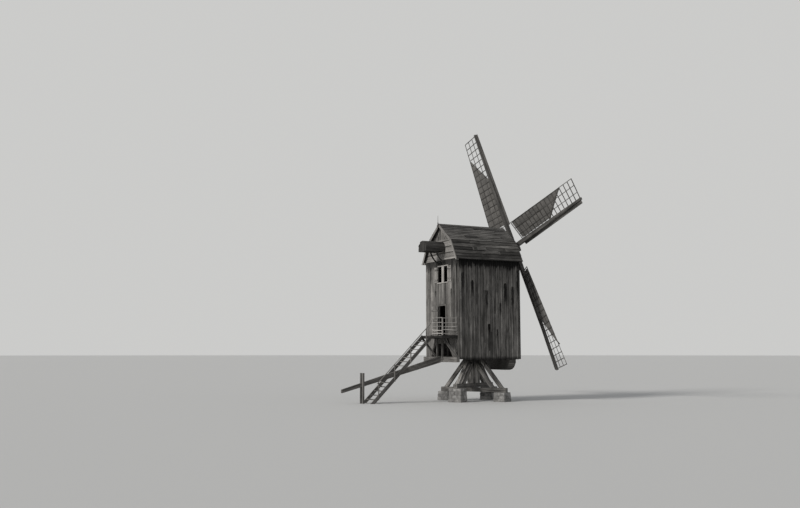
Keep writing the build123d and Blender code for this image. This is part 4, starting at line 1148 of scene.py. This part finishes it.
# Distance from the hub towards the tail, and radius there
SHAFT_PROFILE = (
    (0.30, 0.0), (0.30, 0.199), (1.418, 0.199), (1.418, 0.219), (4.735, 0.16), (4.735, 0.06),
    (4.975, 0.06), (4.975, 0.0),
)
POLL_SPAN = (-0.43, 0.33)
POLL_HALF = 0.28
POLL_END_INSET = 0.012
POLL_BANDS = ((-0.375, 0.075), (0.0, 0.045), (0.302, 0.045))  # middle and width
WEDGE_START = 0.284
WEDGE_ASIDE = 0.166
WEDGE_DEPTHS = (0.042, 0.17)
STRAP_LENGTH = 0.36
STRAP_WIDTH = 0.040
STRAP_DEPTH = 0.007
KNUCKLE_OUT = 0.035


def poll_place(turn=0):
    """Matrix at the hub: out along a sail, across it and back to the body."""
    return face_of(HUB, *sail_direction(turn))


def round_edges(bm, edges, offset, segments):
    bmesh.ops.bevel(
        bm, geom=edges, offset=offset, offset_type="OFFSET", segments=segments, profile=0.5,
        affect="EDGES", material=-1,
    )


def poll_block(bm, half, span):
    """A square block across the shaft with its four long edges rounded."""
    length = span[1] - span[0]
    verts = add_block(bm, (2 * half, 2 * half, length))
    bmesh.ops.translate(bm, vec=(0, 0, sum(span) / 2), verts=verts)
    edges = [
        edge for edge in edges_at(verts)
        if abs(edge.verts[0].co.z - edge.verts[1].co.z) > 0.5 * length
    ]
    round_edges(bm, edges, 0.04, 4)


def build_windshaft():
    """The windshaft: a square poll set square to its stocks, a round neck and a tapered tail."""
    bm = bmesh.new()
    profile = [bm.verts.new((radius, 0, along)) for along, radius in SHAFT_PROFILE]
    edges = [bm.edges.new(pair) for pair in zip(profile, profile[1:])]
    bmesh.ops.spin(
        bm, geom=profile + edges, cent=(0, 0, 0), axis=Z, angle=2 * math.pi, steps=32,
        use_merge=True,
    )
    bmesh.ops.remove_doubles(bm, verts=bm.verts, dist=0.0001)
    poll_block(bm, POLL_HALF, POLL_SPAN)
    front = POLL_SPAN[0]
    rim = [edge for edge in bm.edges if all(abs(vert.co.z - front) < 0.0001 for vert in edge.verts)]
    round_edges(bm, rim, 0.008, 2)
    bmesh.ops.transform(bm, matrix=poll_place(), verts=bm.verts)
    wood = NODE_FINISH["windshaft"]
    finish_piece(bm, "windshaft_timber", wood, "sails", 0, "windshaft")
    bm = bmesh.new()
    poll_block(bm, POLL_HALF - POLL_END_INSET, (front - 0.002, front + 0.02))
    bmesh.ops.transform(bm, matrix=poll_place(), verts=bm.verts)
    finish_piece(bm, "poll_end", POLL_END, "sails", 0)


def band_poll():
    """Square iron bands round the poll, before, between and behind the two stocks."""
    bm = bmesh.new()
    reach = (POLL_HALF + SEAT) * math.sqrt(2)
    turn = Matrix.Rotation(math.pi / 4, 4, "Z")
    for middle, wide in POLL_BANDS:
        place = poll_place() @ Matrix.Translation((0, 0, middle)) @ turn
        add_cone(bm, 4, reach, reach, wide, place, False)
    bands = finish_piece(bm, "poll_bands", IRON, "sails", 0)
    thicken(bands, "band_thickness", 0.010, 1.0)
    wear_edges(bands, 0.003, 30, 2)


def thicken(piece, name, thickness, offset):
    body = piece.modifiers.new(name, "SOLIDIFY")
    body.thickness = thickness
    body.offset = offset


def stock_shift(sail):
    """How far a sail's stock lies from the hub along the shaft: one pair before the other."""
    return -STOCK_PITCH / 2 if sail % 2 == 0 else STOCK_PITCH / 2


def wedge_stocks():
    """Oak wedges driven in beside each stock where it leaves the poll."""
    rng = random.Random(53)
    bm = start_boards()
    for sail in range(4):
        for side in (-1, 1):
            long = rng.uniform(0.10, 0.15)
            verts = add_block(bm, (long, *WEDGE_DEPTHS))
            paint_grain(bm, faces_at(verts), WHOLE, rng, rng.uniform(0.4, 0.9))
            for vert in verts:
                if vert.co.x < 0:
                    vert.co.y *= 0.75
            start = (WEDGE_START, side * WEDGE_ASIDE, stock_shift(sail))
            place = poll_place(sail) @ Matrix.Translation(start)
            bmesh.ops.translate(bm, vec=(long / 2, 0, 0), verts=verts)
            bmesh.ops.transform(bm, matrix=place, verts=verts)
    finish_piece(bm, "stock_wedges", PEELED_POLE, "sails", 0.004)


def strap_iron(bm, start, toward, length, wide):
    """A flat strap that narrows from its knuckle to a round point."""
    place = Matrix.Translation(start)
    verts = add_block(bm, (length, STRAP_DEPTH, wide))
    bmesh.ops.translate(bm, vec=(length / 2, 0, 0), verts=verts)
    for vert in verts:
        if vert.co.x > length / 2:
            vert.co.z *= 0.45
    bmesh.ops.transform(bm, matrix=place @ Matrix.Diagonal((toward, 1, 1, 1)), verts=verts)
    add_cone(bm, 12, wide * 0.36, wide * 0.36, wide * 1.25, place)
    end = Matrix.Translation((toward * length, 0, 0)) @ Matrix.Rotation(math.pi / 2, 4, "X")
    add_cone(bm, 12, wide * 0.42, wide * 0.42, STRAP_DEPTH, place @ end)


def hang_shutters():
    """Strap hinges across the shutters from their outer edges."""
    bm = bmesh.new()
    low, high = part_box("hatch_shutters")
    for edge, inward in ((low.x, 1), (high.x, -1)):
        for level in (low.z + SHUTTER_LEDGE, high.z - SHUTTER_LEDGE):
            knuckle = Vector((edge + inward * SHUTTER_WIDTH, high.y + KNUCKLE_OUT, level))
            strap_iron(bm, knuckle, -inward, STRAP_LENGTH, STRAP_WIDTH)
    finish_piece(bm, "shutter_hinges", IRON, "buck", 0.002)


board_side(-1, "near_side_boards", 11)
board_side(1, "far_side_boards", 12)
board_tail()
board_gable()
board_breast()
board_apron()
board_roof(-1, "near_roof_boards")
board_roof(1, "far_roof_boards")
board_hood()
plank_porch()
board_shutters()
drive_nails("wall_nails", NAIL_PLACES, "buck")
board_door()
rail_porch()
rail_ladder()
build_windshaft()
band_poll()
wedge_stocks()
hang_shutters()


# Stone piers

PIERS = ((30, 0.600), (120, 0.880), (210, 0.600), (300, 0.880))
PIER_RADIUS = 2.12
PIER_HALF = (0.38, 0.45)
PIER_BATTER = 0.045
CORE_DEPTH = 0.022
CORE_SINK = 0.012
COURSE_HEIGHTS = (0.17, 0.23)
STONE_SIZES = (((0.24, 0.34), (0.36, 0.50)), ((0.36, 0.46), (0.26, 0.40)))  # by turns


def rough_block(bm, rng, low, high, ceiling, turn):
    """One roughly squared stone, its corners worn and its faces uneven."""
    before = len(bm.verts)
    verts = bmesh.ops.create_cube(bm, size=1.0)["verts"]
    bmesh.ops.subdivide_edges(bm, edges=edges_at(verts), cuts=3, use_grid_fill=True)
    verts = list(bm.verts)[before:]
    bmesh.ops.smooth_vert(
        bm, verts=verts, factor=0.42, use_axis_x=True, use_axis_y=True, use_axis_z=True
    )
    joint = rng.uniform(0.008, 0.016)
    size = Vector([b - a - joint for a, b in zip(low, high)])
    middle = Vector([(a + b) / 2 for a, b in zip(low, high)])
    seed = Vector((rng.uniform(0, 50), rng.uniform(0, 50), rng.uniform(0, 50)))
    tilt = Matrix.Rotation(rng.gauss(0, 0.02), 3, "Z")
    for vert in verts:
        place = Vector([value * extent * 1.04 for value, extent in zip(vert.co, size)])
        coarse, fine = (noise.noise_vector(place * pace + seed) for pace in (7, 22))
        place = tilt @ (place + (coarse * 0.014 + fine * 0.006)) + middle
        place.z = max(0.0, min(place.z, ceiling))
        vert.co = place
    tone = held(rng.gauss(0.5, 0.24))
    for face in faces_at(verts):
        face[bm.faces.layers.float["tone"]] = tone
    bmesh.ops.transform(bm, matrix=turn, verts=verts)


def build_piers():
    """Rough courses of squared stone round a mortar core, battered outward to the foot."""
    rng = random.Random(41)
    noise.seed_set(41)
    stones = start_boards()
    core = bmesh.new()
    for angle, top in PIERS:
        turn = Matrix.Rotation(math.radians(angle), 4, "Z")
        turn @= Matrix.Translation((PIER_RADIUS, 0, 0))
        for course, (low, high) in enumerate(board_edges(0.0, top, rng, *COURSE_HEIGHTS)):
            batter = PIER_BATTER * (1 - (low + high) / 2 / top)
            half = [extent + batter for extent in PIER_HALF]
            rows, beds = STONE_SIZES[course % 2]
            for x0, x1 in board_edges(-half[0], half[0], rng, *rows):
                for y0, y1 in board_edges(-half[1], half[1], rng, *beds):
                    rough_block(stones, rng, (x0, y0, low), (x1, y1, high), top, turn)
        verts = bmesh.ops.create_cube(core, size=1.0)["verts"]
        for vert in verts:
            foot = PIER_BATTER if vert.co.z < 0 else 0.0
            wide, deep = ((extent - CORE_DEPTH + foot) * 2 for extent in PIER_HALF)
            height = (vert.co.z + 0.5) * (top - CORE_SINK)
            vert.co = Vector((vert.co.x * wide, vert.co.y * deep, height))
        bmesh.ops.transform(core, matrix=turn, verts=verts)
    finish_piece(core, "pier_mortar", MORTAR, "trestle", 0.004)
    finish_piece(stones, "pier_stones", STONE, "trestle", 0, "piers")


build_piers()


# Sail cloths

BARS = 17
BAR_STEP = (TIP - HEEL) / (BARS - 1)
CLOTH_HEEL = HEEL + 0.09
CLOTH_INNER = 0.17
CLOTH_END = (HEEL + 0.50 * (TIP - HEEL), HEEL + 0.80 * (TIP - HEEL))
CLOTH_BACK = 0.0225
UPLONGS = (CLOTH_INNER, 0.467, 0.933, SAIL_WIDTH)
WEATHER = (math.tan(math.radians(21)), math.tan(math.radians(5)))
CLOTH_ROWS = 104
CLOTH_COLUMNS = 27
ROLL_ROWS = 14
ROLL_TURN = math.radians(470)
ROLL_RADIUS = 0.046
CANVAS_DEPTH = 0.004


def weather_slope(x):
    """Rise of a sail towards the body for each unit of its width, at distance x."""
    heel, tip = WEATHER
    return heel + (tip - heel) * (x - HEEL) / (TIP - HEEL)


def sail_place(index, x, y, lift):
    """A point on a sail at x out along the stock and y across, lifted towards the body."""
    outward, trailing, inward = sail_direction(index)
    lift += stock_shift(index) + y * weather_slope(x)
    return HUB + outward * x + trailing * y + inward * lift


def billow(x, y):
    """How far the wind presses the cloth in between the bars and the uplongs."""
    across = 0.0
    for low, high in zip(UPLONGS, UPLONGS[1:]):
        if low <= y <= high:
            across = math.sin(math.pi * (y - low) / (high - low)) ** 0.7
    along = abs(math.sin(math.pi * (x - HEEL) / BAR_STEP)) ** 0.8
    return along * (0.35 + 0.65 * across)


def hang_cloth(index, letter):
    """One twisted, tightly spread cloth whose outer end is rolled up on a slant."""
    bm = bmesh.new()
    rows = CLOTH_ROWS + ROLL_ROWS
    bmesh.ops.create_grid(bm, x_segments=rows, y_segments=CLOTH_COLUMNS, size=0.5)
    uv = bm.loops.layers.uv.new("cut")
    slant = CLOTH_END[1] - CLOTH_END[0]
    edge = Vector((slant, SAIL_WIDTH - CLOTH_INNER)).normalized()
    seed = Vector((0, 0, 7.3 * index))
    stretch = math.sqrt(1 + weather_slope(4.5) ** 2)
    flat = {}
    for vert in bm.verts:
        row = (vert.co.x + 0.5) * rows
        share = vert.co.y + 0.5
        y = CLOTH_INNER + share * (SAIL_WIDTH - CLOTH_INNER)
        end = CLOTH_END[0] + share * slant
        if row <= CLOTH_ROWS:
            x = CLOTH_HEEL + (end - CLOTH_HEEL) * row / CLOTH_ROWS
            slack = 0.5 + 0.5 * noise.noise(Vector((x * 0.9, y * 1.3, 0)) + seed)
            folds = noise.noise(Vector((x * 2.1 + y * 1.6, y * 5.5, 0)) + seed)
            near_end = max(0.0, 1 - (end - x) / 0.9) * billow(x, y)
            depth = billow(x, y) * (0.012 + 0.022 * slack) + 0.012 * folds * near_end
            vert.co = sail_place(index, x, y, depth - CLOTH_BACK)
            flat[vert] = (y * stretch, x)
        else:
            turn = (row - CLOTH_ROWS) / ROLL_ROWS
            angle = turn * ROLL_TURN
            uneven = noise.noise(Vector((y * 6, angle, 0)) + seed)
            radius = ROLL_RADIUS - 0.018 * turn + 0.006 * uneven
            run, drop = radius * math.sin(angle), ROLL_RADIUS - radius * math.cos(angle)
            vert.co = sail_place(index, end + edge.y * run, y - edge.x * run, -CLOTH_BACK - drop)
            flat[vert] = (y * stretch, end + 0.30 * turn)
    for face in bm.faces:
        for loop in face.loops:
            loop[uv].uv = flat[loop.vert]
        face.smooth = True
    name, stands_for = f"sailcloth_{letter}", f"sail_cloth_{letter}"
    cloth = finish_piece(bm, name, CANVAS, "sails", 0, stands_for)
    thicken(cloth, "canvas_thickness", CANVAS_DEPTH, 0.0)


for sail, mark in enumerate("abcd"):
    hang_cloth(sail, mark)


# Camera, floor and light

CAMERA_PLACE = (-52.7, 31.45, 3.2)
CAMERA_YAW = math.radians(63.75)
CAMERA_PITCH = math.radians(6.15)
LENS = 41.0
FLOOR_REACH = 900.0
FLOOR_COLOUR = (0.55, 0.545, 0.53, 1)
SOFT_LIGHT = (0.62, 0.64, 0.67, 1)
BACKDROP = (0.60, 0.60, 0.59, 1)
SUN_COLOUR = (1.0, 0.985, 0.96)
SUN_WAY = Vector((0.12, -0.80, -0.50))


def aim(thing, direction):
    thing.rotation_euler = direction.to_track_quat("-Z", "Y").to_euler()


def place_camera():
    camera = add_object("camera", bpy.data.cameras.new("camera"))
    camera.data.sensor_width = 36.0
    camera.data.lens = LENS
    camera.data.clip_end = 2000.0
    level = Vector((math.sin(CAMERA_YAW), -math.cos(CAMERA_YAW), 0))
    camera.location = CAMERA_PLACE
    aim(camera, level * math.cos(CAMERA_PITCH) + Vector((0, 0, math.sin(CAMERA_PITCH))))
    bpy.context.scene.camera = camera


def lay_floor():
    bm = bmesh.new()
    bmesh.ops.create_circle(bm, cap_ends=True, segments=96, radius=FLOOR_REACH)
    paint = start_finish("floor_paint", 0.95, Base_Color=FLOOR_COLOUR)
    add_mesh(bm, "floor", paint)


def light_scene():
    world = bpy.data.worlds.new("studio")
    bpy.context.scene.world = world
    world.use_nodes = True
    tree = world.node_tree
    soft = tree.nodes["Background"]
    soft.inputs["Color"].default_value = SOFT_LIGHT
    soft.inputs["Strength"].default_value = 0.62
    seen = add_node(tree, "ShaderNodeBackground", {"Color": BACKDROP, "Strength": 1.0})
    ways = tree.nodes.new("ShaderNodeLightPath").outputs
    clear = arithmetic("MAXIMUM", Wire(ways["Is Camera Ray"]), Wire(ways["Is Glossy Ray"]))
    clear = arithmetic("MAXIMUM", clear, Wire(ways["Is Transmission Ray"]))
    inputs = {0: clear, 1: Wire(soft.outputs[0]), 2: seen}
    mixed = add_node(tree, "ShaderNodeMixShader", inputs)
    tree.links.new(mixed.socket, tree.nodes["World Output"].inputs["Surface"])
    sun = bpy.data.lights.new("key", "SUN")
    sun.energy = 2.3
    sun.angle = math.radians(14)
    sun.color = SUN_COLOUR
    aim(add_object("key", sun), SUN_WAY)


bpy.context.scene.view_settings.view_transform = "Standard"
place_camera()
lay_floor()
light_scene()
